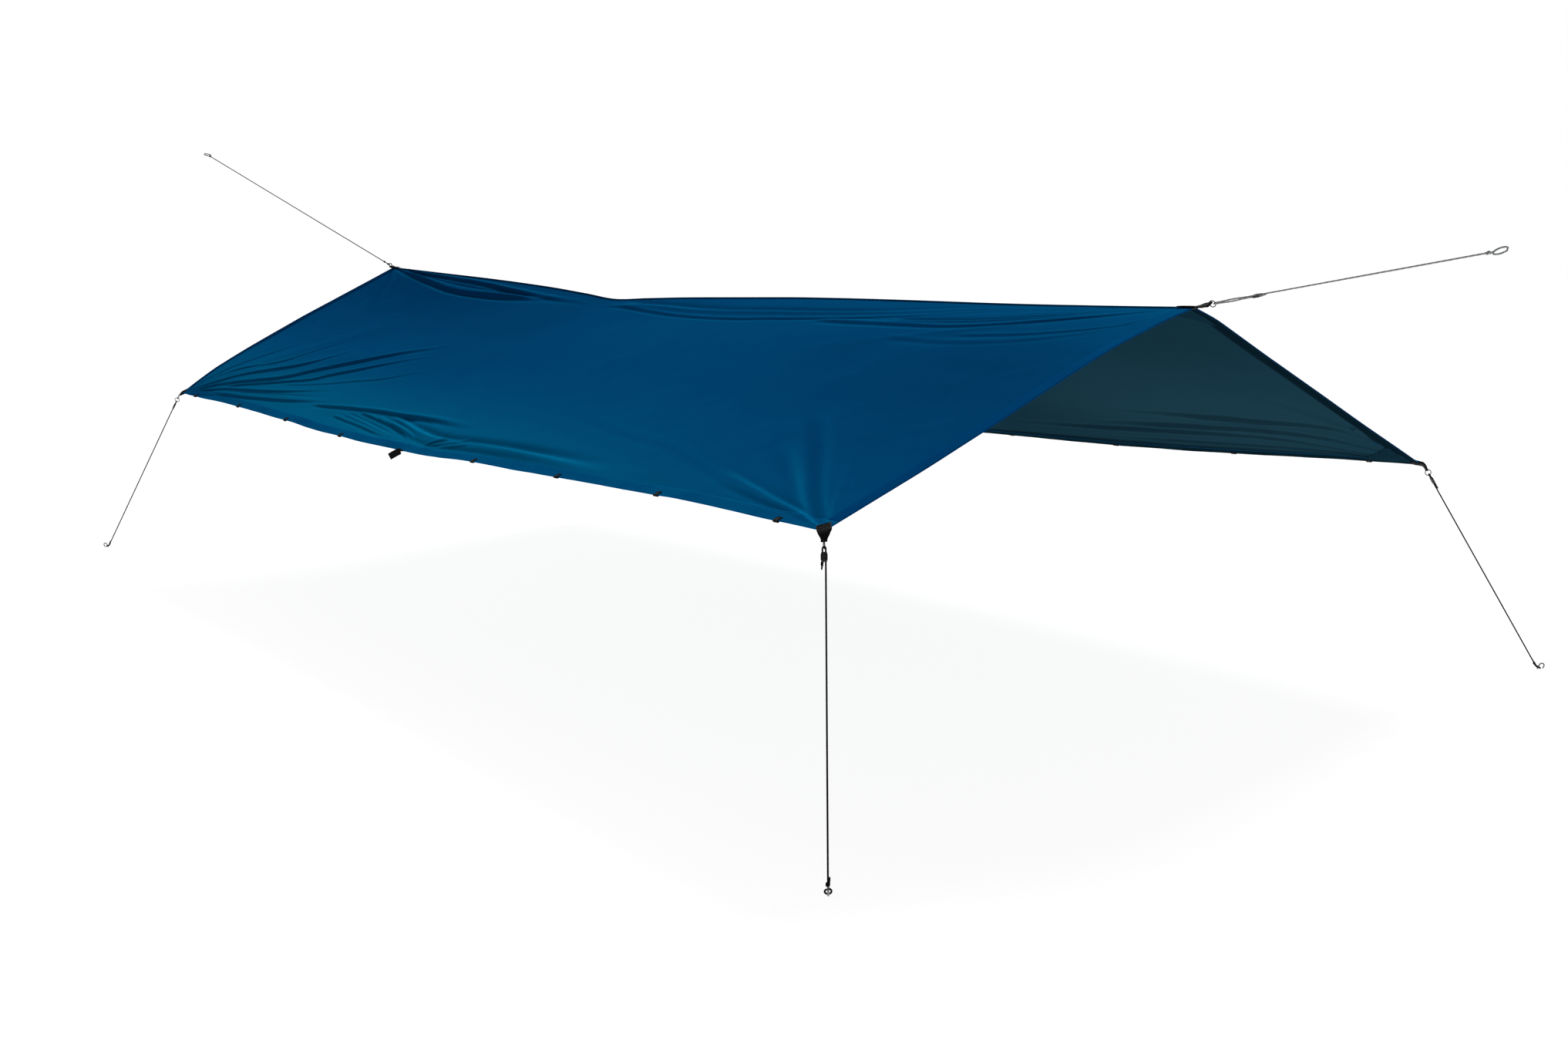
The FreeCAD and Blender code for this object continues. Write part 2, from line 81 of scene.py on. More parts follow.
# sag rows: (fraction of the edge, rise in mm)
RIDGE_SAG = [
    (0, 0), (.1, -14), (.2, -28), (.3, -47), (.36, -64), (.406, -78), (.45, -68), (.5, -57),
    (.57, -45), (.66, -31), (.75, -23), (.85, -17), (.93, -9), (1, 0)]

# lit:        direction (along, down) in which the lean of a fold is measured
# gable_bows: sag rows of the left and right gable edges, from ridge to hem
# folds:      (slope across the fold, half width in mm at its start, at its end, line (along, down))
# fans:       tension folds that spread from one point of an edge: (along, down, first and last
#             angle in degrees from the long edge, count, reach in m, height in mm, seed)
NEAR = SimpleNamespace(
    name="near", body="near_side", outward=-1.0, width=1.25,
    row_step=.0032, column_step=.0068, lit=(.45, .89), fold_gain=3.5, flutter_shift=0,
    hem_ends=(place(-2.199, -1.035, 0.682), place(2.178, -1.226, 0.690)),
    hem_sag=[
        (0, 0), (.11, 0), (.205, -10), (.29, -22), (.37, -30), (.44, -34), (.5, -34), (.6, -22),
        (.7, -14), (.79, -3), (.87, 2), (.94, 1), (1, 0)],
    gable_bows=(
        [(0, 0), (.13, 7), (.31, 16), (.49, 24), (.66, 26), (.83, 22), (1, 0)],
        [(0, 0), (.12, 15), (.26, 23), (.42, 17), (.62, 7), (.8, 1), (1, 0)]),
    folds=[
        (.20, 8, 15, [(0, 1), (.0513, .9025), (.0762, .8525), (.1231, .7838), (.1569, .7175),
                      (.1806, .6362), (.2044, .5475)]),
        (.11, 8, 15, [(0, 1), (.0544, .8175), (.1056, .7538), (.1256, .6713), (.1438, .5863),
                      (.1681, .5138)]),
        (.09, 8, 16, [(0, 1), (.03, .85), (.055, .74), (.078, .64), (.1, .55)]),
        (.26, 8, 17, [(0, 1), (.0612, .9175), (.1156, .8688), (.1581, .815), (.1831, .7462),
                      (.2169, .6675), (.2481, .5975), (.2719, .5425), (.3075, .4788), (.335, .43)]),
        (.20, 8, 15, [(.07, .93), (.1256, .885), (.1694, .835), (.2075, .79), (.22, .7475),
                      (.2481, .69), (.2687, .6375), (.2988, .57), (.33, .51)]),
        (.10, 8, 13, [(.17, .86), (.2306, .8037), (.2644, .7562), (.3069, .7037),
                      (.3256, .6525), (.36, .59)]),
        (.19, 7, 12, [(0, 1), (.0737, .9375), (.12, .9238), (.1925, .8838), (.2306, .8488),
                      (.28, .8)]),
        (-.24, 7, 13, [(0, 1), (.0825, .9513), (.105, .9475), (.1738, .9163), (.2269, .8875),
                       (.28, .855)]),
        (.25, 7, 13, [(0, 1), (.0912, .965), (.12, .9613), (.1625, .945), (.215, .9213),
                      (.2556, .8925), (.31, .86)]),
        (.22, 10, 20, [(.2631, .905), (.2888, .8975), (.3275, .8725), (.3581, .8613),
                       (.3875, .85), (.4344, .8425), (.4819, .8413), (.55, .85)]),
        (-.22, 16, 30, [(.4, .845), (.4338, .865), (.4569, .885), (.5062, .915), (.5969, .92),
                        (.6656, .925), (.6981, .93), (.79, .945)]),
        (.10, 12, 18, [(.4, .875), (.4338, .9), (.4569, .92), (.5062, .95), (.5969, .955),
                       (.6656, .96), (.7, .965)]),
        (.20, 8, 9, [(.3212, .92), (.36, .93), (.3919, .9387), (.4294, .9513), (.46, .965)]),
        (-.20, 8, 9, [(.335, .895), (.3675, .905), (.3994, .917), (.4363, .933), (.47, .955)]),
        (.22, 9, 9, [(.35, .875), (.3831, .886), (.4175, .8975), (.4525, .9163),
                     (.4825, .9487), (.497, .98)]),
        (-.20, 9, 8, [(.39, .87), (.4269, .886), (.4669, .912), (.49, .935), (.5, .975)]),
        (.18, 10, 7, [(.56, .905), (.535, .925), (.515, .955), (.503, .985)]),
        (-.16, 9, 7, [(.58, .93), (.55, .945), (.52, .965), (.505, .988)]),
        (.30, 11, 24, [(0, 0), (.0106, .0035), (.0581, .0438), (.115, .0863), (.1663, .12),
                       (.2175, .1263), (.2756, .115), (.3231, .085), (.36, .06)]),
        (.30, 9, 20, [(0, 0), (.0344, .0112), (.1344, .0338), (.205, .0438), (.2637, .065),
                      (.3063, .0713), (.3375, .0725), (.4, .06)]),
        (-.20, 12, 22, [(.03, .02), (.1, .055), (.16, .082), (.22, .09), (.28, .085), (.33, .07)]),
        (.09, 14, 40, [(0, 0), (.02, .06), (.04, .13), (.06, .22), (.08, .32)]),
        (.14, 14, 8, [(.4, .055), (.4313, .0612), (.51, .1225), (.5956, .1562), (.6606, .1487),
                      (.735, .135), (.7981, .1062), (.8419, .0725), (.8694, .0338),
                      (.8888, .015)]),
        (-.14, 26, 12, [(.42, .03), (.5, .065), (.58, .095), (.6438, .0963), (.7225, .0938),
                        (.7875, .0688), (.8325, .0375), (.8756, .01)]),
        (.13, 16, 9, [(.7, .15), (.7569, .1588), (.8144, .1638), (.8513, .1638), (.8956, .135),
                      (.9263, .1), (.9575, .0638), (.985, .03), (1, 0)]),
        (-.15, 13, 8, [(.78, .135), (.83, .13), (.87, .115), (.905, .09), (.94, .06), (.97, .03)]),
        (.07, 14, 9, [(.86, .215), (.9131, .2025), (.9413, .1775), (.9669, .1475), (.985, .1),
                      (1, 0)]),
        (.04, 20, 10, [(.8, .235), (.86, .255), (.91, .245), (.95, .205), (.975, .15), (1, 0)]),
        (.060, 16, 36, [(1, 1), (.9837, .9663), (.9637, .9163), (.9437, .8625), (.925, .8037),
                        (.8975, .725), (.8669, .64), (.84, .57)]),
        (-.040, 14, 34, [(1, 1), (.975, .965), (.9544, .9238), (.9337, .8712), (.915, .8263),
                         (.8906, .7675), (.86, .7)]),
        (-.070, 9, 18, [(1, 1), (.96, .9525), (.9381, .94), (.9113, .9163), (.8831, .89),
                        (.85, .865)]),
        (.060, 8, 14, [(1, 1), (.955, .965), (.93, .955), (.9, .935), (.87, .92)]),
        (.018, 14, 34, [(.92, .955), (.9081, .9425), (.8662, .905), (.8156, .8488),
                        (.7688, .8087), (.7156, .7887), (.6381, .7275), (.58, .68)])],
    fans=[
        (0, 1, 1, 60, 13, 1.7, 1.9, 5), (1, 1, 8, 70, 7, .9, 1.2, 6),
        (0, 0, 3, 30, 5, 1.4, 1.8, 7), (1, 0, 3, 28, 6, 1.6, 1.5, 8),
        (.5, 1, 10, 170, 9, .45, 1.6, 9)])
FAR = SimpleNamespace(
    name="far", body="far_side", outward=1.0, width=1.31,
    row_step=.0050, column_step=.0095, lit=(.30, .95), fold_gain=4.4, flutter_shift=40,
    hem_ends=(place(-2.197, 1.194, 0.620), place(2.232, 1.215, 0.643)),
    hem_sag=[
        (0, 0), (.15, -24), (.3, -42), (.45, -52), (.6, -53), (.72, -44), (.8, -35), (.87, -23),
        (.93, -13), (1, 0)],
    gable_bows=(
        [(0, 0), (.2, 6), (.5, 3), (.8, -2), (1, 0)],
        [(0, 0), (.1, 8), (.3, 4), (.5, 2), (.75, -1), (1, 0)]),
    folds=[
        (.20, 8, 22, [(1, 1), (.98, .7688), (.9513, .7325), (.9213, .7238), (.8806, .7063),
                      (.8481, .695), (.79, .68)]),
        (.22, 8, 22, [(1, 1), (.9656, .8613), (.9375, .815), (.9, .7875), (.8525, .7938),
                      (.8044, .7925), (.74, .79)]),
        (.16, 8, 22, [(1, 1), (.9844, .74), (.9763, .7037), (.9669, .6388), (.955, .5887),
                      (.94, .53)]),
        (.20, 8, 20, [(1, 1), (.955, .9275), (.935, .895), (.9088, .8588), (.8656, .8475),
                      (.7944, .8413), (.715, .8425), (.64, .845)]),
        (-.18, 8, 20, [(1, 1), (.9719, .82), (.9544, .7775), (.9275, .75), (.8856, .7388),
                       (.83, .735)]),
        (.16, 8, 14, [(1, 1), (.96, .955), (.92, .935), (.86, .925), (.8, .92), (.72, .925)]),
        (.26, 12, 28, [(0, 0), (.05, .03), (.12, .085), (.2, .12), (.3, .11)]),
        (.20, 10, 28, [(1, 0), (.95, .04), (.86, .09), (.74, .12), (.6, .12)]),
        (.24, 8, 18, [(0, 1), (.06, .93), (.13, .88), (.2, .8), (.25, .72), (.3, .65)]),
        (.20, 8, 15, [(0, 1), (.07, .955), (.14, .935), (.22, .9), (.3, .87)]),
        (.16, 8, 17, [(0, 1), (.04, .88), (.075, .78), (.1, .68), (.12, .6)]),
        (-.15, 8, 17, [(0, 1), (.05, .91), (.1, .84), (.15, .75), (.19, .66)]),
        (.15, 10, 7, [(.56, .905), (.535, .925), (.515, .955), (.503, .985)]),
        (-.15, 10, 7, [(.44, .905), (.465, .925), (.485, .955), (.497, .985)])],
    fans=[
        (0, 1, 2, 56, 9, 1.3, 2.0, 15), (1, 1, 2, 50, 11, 1.6, 2.2, 16),
        (0, 0, 3, 30, 5, 1.2, 1.8, 17), (1, 0, 3, 28, 5, 1.3, 1.6, 18),
        (.5, 1, 10, 170, 8, .45, 1.6, 19)])
PANELS = (NEAR, FAR)


# ---------------------------------------------------------------------------
# cloth surface
# ---------------------------------------------------------------------------
def sag_curve(rows, x):
    """Smooth curve in metres, without overshoot, through (fraction, millimetres) rows."""
    stations, rises = np.array(rows, float).T
    rises = rises / 1000.0
    slopes = np.diff(rises) / np.diff(stations)
    grades = np.zeros(len(stations))
    grades[0], grades[-1] = slopes[0], slopes[-1]
    for i in range(1, len(stations) - 1):
        before, after = slopes[i - 1], slopes[i]
        if before * after > 0:
            grades[i] = 2 * before * after / (before + after)
    x = np.clip(x, 0, 1)
    i = np.clip(np.searchsorted(stations, x, side="right") - 1, 0, len(stations) - 2)
    span = stations[i + 1] - stations[i]
    f = (x - stations[i]) / span
    return ((1 + 2 * f) * (1 - f) ** 2 * rises[i] + f * (1 - f) ** 2 * span * grades[i]
            + f * f * (3 - 2 * f) * rises[i + 1] + f * f * (f - 1) * span * grades[i + 1])


def base_surface(panel, along, down):
    """The panel without folds: a surface stretched between its four curved edges."""
    along = np.asarray(along, float)
    down = np.asarray(down, float)
    ridge_left, ridge_right = RIDGE_ENDS
    hem_left, hem_right = panel.hem_ends
    x, y = along[..., None], down[..., None]

    def edge(start, end, fraction, rows):
        return start + (end - start) * fraction + sag_curve(rows, fraction[..., 0])[..., None] * UP

    ridge = edge(ridge_left, ridge_right, x, RIDGE_SAG)
    hem = edge(hem_left, hem_right, x, panel.hem_sag)
    gable_left = edge(ridge_left, hem_left, y, panel.gable_bows[0])
    gable_right = edge(ridge_right, hem_right, y, panel.gable_bows[1])
    points = ridge * (1 - y) + hem * y + gable_left * (1 - x) + gable_right * x
    points = points - (ridge_left * (1 - x) * (1 - y) + ridge_right * x * (1 - y)
                       + hem_left * (1 - x) * y + hem_right * x * y)
    return points - UP * (BELLY * 16 * along * (1 - along) * down * (1 - down))[..., None]


def smoothstep(x, start, end):
    f = np.clip((x - start) / (end - start), 0, 1)
    return f * f * (3 - 2 * f)


def line_noise(x, seed, octaves=1):
    """Smooth repeatable noise of one variable; each octave is about -1..1 at half the last."""
    table = np.random.default_rng(seed).uniform(-1, 1, 4096)
    total = np.zeros_like(x, float)
    strength = 1.0
    for octave in range(octaves):
        y = x * 2 ** octave + 37.7 * octave + 500
        i = np.floor(y).astype(int)
        f = y - i
        f = f * f * (3 - 2 * f)
        total += strength * (table[i % 4096] * (1 - f) + table[(i + 1) % 4096] * f)
        strength *= .5
    return total


def plane_noise(x, y, seed):
    """Smooth repeatable noise of two variables, in -1..1."""
    table = np.random.default_rng(seed).uniform(-1, 1, (256, 256))
    i, j = np.floor(x).astype(int), np.floor(y).astype(int)
    x, y = (f * f * f * (f * (f * 6 - 15) + 10) for f in (x - i, y - j))

    def row(j):
        return table[i % 256, j % 256] * (1 - x) + table[(i + 1) % 256, j % 256] * x

    return row(j) * (1 - y) + row(j + 1) * y


def add_fold(height, panel, x, y, fold):
    """Add one fold, high on one side of its line and low on the other, to a height field."""
    slope, start_width, end_width, points = fold
    line = np.array(points) * [LENGTH, panel.width]
    for _ in range(2):  # cut the corners of the line
        cuts = [cut for a, b in zip(line, line[1:]) for cut in (a * .75 + b * .25, a * .25 + b * .75)]
        line = np.array([line[0], *cuts, line[-1]])
    lengths = np.linalg.norm(np.diff(line, axis=0), axis=1)
    travelled = np.concatenate([[0], np.cumsum(lengths)])
    reach = 3.2 * max(start_width, end_width) / 1000.0
    low, high = line.min(0) - reach, line.max(0) + reach
    box = (x >= low[0]) & (x <= high[0]) & (y >= low[1]) & (y <= high[1])
    x, y = x[box], y[box]
    nearest = np.full(x.shape, 9.0)
    progress = np.zeros_like(x)
    side = np.ones_like(x)
    for k in range(len(line) - 1):
        step = line[k + 1] - line[k]
        gap_x, gap_y = x - line[k][0], y - line[k][1]
        f = np.clip((gap_x * step[0] + gap_y * step[1]) / max(step @ step, 1e-12), 0, 1)
        distance = np.hypot(gap_x - f * step[0], gap_y - f * step[1])
        facing = np.array([-step[1], step[0]])
        facing = facing * np.sign(facing @ np.array(panel.lit) + 1e-12)
        closer = distance < nearest
        nearest = np.where(closer, distance, nearest)
        progress = np.where(closer, (travelled[k] + f * lengths[k]) / travelled[-1], progress)
        side = np.where(closer, np.sign(gap_x * facing[0] + gap_y * facing[1]), side)
    width = (start_width + (end_width - start_width) * progress) / 1000.0
    across = nearest * side / width
    fade = (smoothstep(progress, 0, .10) * (1 - smoothstep(progress, .62, 1.0))
            * np.minimum(1, 1.6 - .6 * progress))
    height[box] -= panel.fold_gain * slope * width * across * np.exp(-across * across) * fade


def fan_height(panel, x, y, fan):
    along, down, first, last, count, reach, rise, seed = fan
    x = (x - along * LENGTH) * (1 if along < .75 else -1)
    y = (y - down * panel.width) * (-1 if down == 1 else 1)
    radius = np.hypot(x, y) + 1e-6
    angle = np.degrees(np.arctan2(y, x))
    ray = (angle - first) / (last - first) * count
    wave = (line_noise(ray + .25 * line_noise(radius * 3.1, seed + 50), seed) * .75
            + .35 * line_noise(ray * 2.3 + 9 + radius * .8, seed + 1))
    spacing = radius * math.radians(last - first) / count
    fade = ((1 - smoothstep(radius, reach * .25, reach))
            * smoothstep(angle, first - 4, first + 6) * (1 - smoothstep(angle, last - 8, last + 6)))
    return np.minimum(rise / 1000.0, .16 * spacing) * wave * fade


def fold_height(panel, along, down):
    """Height of all folds and waves above the base surface."""
    x, y = along * LENGTH, down * panel.width
    height = np.zeros_like(x)
    for fold in panel.folds:
        add_fold(height, panel, x, y, fold)
    for fan in panel.fans:
        height += fan_height(panel, x, y, fan)
    # slow waves, ripples, faint creases of a packed cloth, and hem flutter
    height += (.0045 * plane_noise(x * 1.3 + 3, y * 1.8 + 11, 101)
               * smoothstep(down, 0, .2) * smoothstep(1 - down, 0, .08))
    height += .0012 * plane_noise(x * 5.0 + .6 * y, y * 4.0, 102) * smoothstep(down, 0, .08)
    height += .00035 * plane_noise(x * 17.0 + y * 3, y * 15.0 - x * 2, 103)
    height += (.0020 * line_noise(x * 3.3 + panel.flutter_shift, 104, octaves=2)
               * smoothstep(down, .86, 1.0))
    pinned = smoothstep(along, 0, .004) * smoothstep(1 - along, 0, .004)
    return height * (.25 + .75 * pinned) * smoothstep(down, 0, .012)


def upward_normals(first, second):
    normals = np.cross(first, second)
    normals /= np.linalg.norm(normals, axis=-1, keepdims=True) + 1e-15
    return normals * np.sign(normals[..., 2:3] + 1e-12)


def grid_normals(points):
    return upward_normals(np.gradient(points, axis=0), np.gradient(points, axis=1))


def cloth(panel, along, down):
    """Points of the folded cloth and the unit normals of the base surface under them."""
    step = 1e-3

    def base(x, y):
        return base_surface(panel, np.clip(x, 0, 1), np.clip(y, 0, 1))

    normals = upward_normals(base(along + step, down) - base(along - step, down),
                             base(along, down + step) - base(along, down - step))
    points = base_surface(panel, along, down)
    return points + normals * fold_height(panel, along, down)[..., None], normals


# ---------------------------------------------------------------------------
# shader helpers
# ---------------------------------------------------------------------------
class Value:
    """An output socket; arithmetic on it adds Math nodes."""
    def __init__(self, nodes, socket):
        self.nodes, self.socket = nodes, socket

    def __add__(self, other):
        return self.nodes.math("ADD", self, other)

    def __radd__(self, other):
        return self.nodes.math("ADD", other, self)

    def __sub__(self, other):
        return self.nodes.math("SUBTRACT", self, other)

    def __rsub__(self, other):
        return self.nodes.math("SUBTRACT", other, self)

    def __mul__(self, other):
        return self.nodes.math("MULTIPLY", self, other)

    def __truediv__(self, other):
        return self.nodes.math("DIVIDE", self, other)

    def __pow__(self, other):
        return self.nodes.math("POWER", self, other)

    def __gt__(self, other):
        return self.nodes.math("GREATER_THAN", self, other)

    def __lt__(self, other):
        return self.nodes.math("LESS_THAN", self, other)

    def __abs__(self):
        return self.nodes.math("ABSOLUTE", self)

    def sine(self):
        return self.nodes.math("SINE", self)

    def clamped(self):
        self.socket.node.use_clamp = True
        return self


class Nodes:
    """An emptied node tree with short calls that add nodes."""
    def __init__(self, tree):
        self.tree = tree
        tree.nodes.clear()

    def put(self, node, inputs):
        """Link or set inputs; colours are given without alpha."""
        for key, value in inputs.items():
            socket = node.inputs[key]
            if isinstance(value, Value):
                self.tree.links.new(value.socket, socket)
            else:
                socket.default_value = (*value, 1.0) if socket.type == "RGBA" else value

    def node(self, kind, inputs={}, **attributes):
        node = self.tree.nodes.new("ShaderNode" + kind)
        for key, value in attributes.items():
            setattr(node, key, value)
        self.put(node, inputs)
        return node

    def value(self, kind, inputs={}, output=0, **attributes):
        return Value(self, self.node(kind, inputs, **attributes).outputs[output])

    def math(self, operation, *operands):
        return self.value("Math", dict(enumerate(operands)), operation=operation)


class Shader(Nodes):
    """A material that ends in a Principled shader."""
    def __init__(self, name):
        self.material = bpy.data.materials.new(name)
        self.material.use_nodes = True
        super().__init__(self.material.node_tree)
        self.output = self.node("OutputMaterial")
        self.principled = self.node("BsdfPrincipled")
        self.put(self.output, {0: Value(self, self.principled.outputs[0])})

    def surface(self, **inputs):
        """Set Principled inputs; underscores stand for the spaces in their names."""
        self.put(self.principled, {key.replace("_", " "): v for key, v in inputs.items()})

    def add_over(self, factor, second):
        """Mix a second shader over the Principled one."""
        first = Value(self, self.principled.outputs[0])
        self.put(self.output, {0: self.value("MixShader", {0: factor, 1: first, 2: second})})

    def uv(self):
        return self.value("UVMap", uv_map="UVMap")

    def object_position(self):
        return self.value("TexCoord", output="Object")

    def split(self, vector):
        return [Value(self, out) for out in self.node("SeparateXYZ", {0: vector}).outputs]

    def mix(self, factor, first, second):
        return self.value("Mix", {0: factor, 6: first, 7: second}, output=2, data_type="RGBA")

    def ramp(self, factor, stops):
        """Colour ramp through (position, colour) stops."""
        node = self.node("ValToRGB")
        elements = node.color_ramp.elements
        while len(elements) < len(stops):
            elements.new(.5)
        for element, (position, colour) in zip(elements, stops):
            element.position = position
            element.color = (*colour, 1.0)
        self.put(node, {0: factor})
        return Value(self, node.outputs[0])

    def bump(self, height, strength, distance, **over):
        """Bump normal; over may hold Normal, the coarser normal it is laid on."""
        return self.value("Bump", {
            "Strength": strength, "Distance": distance, "Height": height, **over})

    def noise(self, vector, scale, detail=3.0, rough=.55, distortion=0.0):
        return self.value("TexNoise", {
            "Scale": scale, "Detail": detail, "Roughness": rough, "Distortion": distortion,
            "Vector": vector})


def scaled(colour, factor):
    return tuple(channel * factor for channel in colour)


# ---------------------------------------------------------------------------
# fabric materials
# ---------------------------------------------------------------------------
THREAD_PITCH = .00045
SHEEN_OUT = (.001, .16, .30)
SHEEN_IN = (.012, .05, .075)
BLACK, GREY, WHITE = (0, 0, 0), (.5, .5, .5), (1, 1, 1)


def weave_bump(shader, uv):
    """Plain weave: warp and weft threads passing over and under."""
    x, y, _ = shader.split(uv)
    x = x * (math.pi / THREAD_PITCH)
    y = y * (math.pi / THREAD_PITCH)
    sine_x, sine_y = x.sine(), y.sine()
    round_x = abs(shader.math("COSINE", x))
    round_y = abs(shader.math("COSINE", y))
    over = sine_x * sine_y
    return shader.bump(over * .5 + (round_x + round_y) * .35, strength=.25, distance=.00012)


def tinted_gloss(shader, colour, roughness, amount, normal, level=None):
    """A coloured sheen lobe over the base, stronger towards grazing angles."""
    gloss = shader.value("BsdfGlossy", {"Roughness": roughness, "Color": colour, "Normal": normal})
    facing = shader.value("LayerWeight", {"Blend": .35, "Normal": normal}, output="Facing")
    factor = (facing * (amount * .8) + amount * .35).clamped()
    if level is not None:
        factor = (factor * level).clamped()
    shader.add_over(factor, gloss)


def canopy_material(name, low, high, glow, roughness, inner=False, roll_edge=None):
    """Coated cloth: weave, slow colour drift, crease marks that catch the light, satin face.

    The colour also holds painted shade and painted highlights: soft ovals, and fold faces that lean
    away from or into the key light.
    roll_edge is the panel width at the hem; towards it painted shade deepens on the underside, standing
    for the cloth rolling under into shade.
    """
    shader = Shader(name)
    uv = shader.uv()
    drift = shader.noise(uv, scale=1.1, detail=3.0, rough=.5)
    mottle = shader.noise(uv, scale=7.0, detail=4.0, rough=.6, distortion=.4)
    grain = shader.noise(uv, scale=900.0, detail=2.0, rough=.5)
    colour = shader.ramp(drift * .75 + mottle * .25, [(.3, low), (.72, high)])
    # faint chalky rub on creases
    crease = shader.ramp(shader.noise(uv, scale=16.0, detail=6.0, rough=.65, distortion=1.2),
                         [(.47, BLACK), (.5, GREY), (.53, BLACK)])
    colour = shader.mix(crease * .10, colour, glow)
    colour = shader.mix(grain * .06, colour, glow)
    x, y, _ = shader.split(uv)

    def painted_light_patch(centre, radii, amount):
        """A soft oval mask for painted shade and painted highlight on the cloth; centre and radii in
        metres.
        """
        across = (abs(x - centre[0]) / radii[0]) ** 2.0
        drop = (abs(y - centre[1]) / radii[1]) ** 2.0
        return shader.math("EXPONENT", (across + drop) * -1.0) * amount

    if inner:
        # painted shade on the underside over the right half of the hem and near the right ridge end,
        # painted highlight near the right end of the hem
        painted_shade = (painted_light_patch(centre=(3.0, 1.0), radii=(.75, .40), amount=.45)
                + painted_light_patch(centre=(4.45, .2), radii=(.8, .4), amount=.15)).clamped()
        if roll_edge:
            # painted shade deepens over 35 mm, starting 85 mm from the hem
            roll = ((y - (roll_edge - .085)) * (1 / .035)).clamped()
            painted_shade = (painted_shade + roll * .85).clamped()
        light = painted_light_patch(centre=(4.0, .95), radii=(.9, .35), amount=.30)
        # the sheen strength follows the painted shade and painted highlight
        level = (1.0 - painted_shade * .9) + light * .6
        colour = shader.mix(painted_shade, colour, scaled(low, .22))
    else:
        # painted shade near the left ridge end and over the right end, painted highlight along the hem
        # from the left end past the middle; the sheen strength follows them
        painted_shade = (painted_light_patch(centre=(.55, .10), radii=(1.35, .46), amount=.72)
                + painted_light_patch(centre=(4.35, .42), radii=(1.15, .75), amount=.70)).clamped()
        light = (painted_light_patch(centre=(1.25, 1.12), radii=(1.7, .24), amount=.62)
                 + painted_light_patch(centre=(2.6, 1.22), radii=(1.5, .12), amount=.45)).clamped() * 1.0
        level = (1.0 - painted_shade * .95) + light * .9
        colour = shader.mix(painted_shade * .55, colour, scaled(low, .35))
    colour = shader.mix(light, colour, glow)
    # fold faces darken where they lean away from the light and brighten where they lean into it
    lean = shader.value("Attribute", output="Fac", attribute_name="lean")
    away = (lean * -2.0).clamped() * (.32 if inner else .52)
    toward = (lean * 2.4).clamped() * (.45 if inner else .62)
    colour = shader.mix(away, colour, scaled(low, .22))
    colour = shader.mix(toward, colour, glow)
    level = level * ((1.0 - away) + toward)
    rough = mottle * .16 + (roughness - .08)
    rough = rough + grain * .05
    weave = weave_bump(shader, uv)
    normal = shader.bump(shader.noise(uv, scale=24.0, detail=5.0, rough=.62, distortion=.8),
                         strength=.35, distance=.0012, Normal=weave)
    shader.surface(Base_Color=colour, Roughness=rough, Normal=normal, Specular_IOR_Level=0.0)
    tinted_gloss(shader, SHEEN_IN if inner else SHEEN_OUT, roughness, .20, normal, level)
    return shader.material


def hem_material(name, low, high, thread, roughness, rows=(.0045, .0345), inner=False, sheen=.18):
    """Folded hem: weave, rows of lock stitch that dimple the cloth, pucker between stitches.

    rows holds where the stitch rows run across the width, in metres.
    """
    half_row = .0007
    pucker_pitch = .011
    stitch_pitch = .0034
    shader = Shader(name)
    uv = shader.uv()
    x, y, _ = shader.split(uv)
    colour = shader.ramp(shader.noise(uv, scale=5.0, detail=4.0, rough=.6, distortion=.3),
                         [(.3, low), (.7, high)])
    height = (x * (TURN / pucker_pitch)).sine() * .4
    stitches = None
    for row in rows:
        distance = abs(y - row)
        dimple = (1.0 - distance / (half_row * 2.4)).clamped()
        dash = (x * (TURN / stitch_pitch)).sine() > -.55
        line = (distance < half_row) * dash
        stitches = line if stitches is None else (stitches + line).clamped()
        height = height - dimple * 2.0
        height = height + line * 1.6
    colour = shader.mix(stitches, colour, thread)
    rough = shader.noise(uv, scale=40.0) * .15 + (roughness - .07)
    weave = weave_bump(shader, uv)
    normal = shader.bump(height, strength=.5, distance=.00045, Normal=weave)
    shader.surface(Base_Color=colour, Roughness=rough, Normal=normal, Specular_IOR_Level=0.0)
    tinted_gloss(shader, SHEEN_IN if inner else SHEEN_OUT, roughness, sheen, normal)
    return shader.material


# ---------------------------------------------------------------------------
# webbing, cord, plastic and metal materials
# ---------------------------------------------------------------------------
def webbing_material(name, low, high, mapped=True, density=1.0):
    """Ribbed tape: herringbone ribs across the width, with fuzz."""
    rib_pitch, yarn_pitch = .0016, .0021
    shader = Shader(name)
    vector = shader.uv() if mapped else shader.object_position()
    x, y, z = shader.split(vector)
    if not mapped:
        x, y = x + y, z
    zigzag = shader.math("PINGPONG", x, yarn_pitch)
    rib = ((y + zigzag) * (TURN / rib_pitch * density)).sine()
    yarn = (x * (TURN / yarn_pitch * density)).sine()
    height = rib * .6 + yarn * .4
    fuzz = shader.noise(vector, scale=420.0, detail=4.0, rough=.7)
    colour = shader.ramp(height * .22 + fuzz * .9, [(.2, low), (.85, high)])
    rough = fuzz * .2 + .62
    ribs = shader.bump(height, strength=.7, distance=.00025)
    normal = shader.bump(fuzz, strength=.3, distance=.0002, Normal=ribs)
    shader.surface(Base_Color=colour, Roughness=rough, Normal=normal,
                   Specular_IOR_Level=.12, Sheen_Weight=.02)
    return shader.material


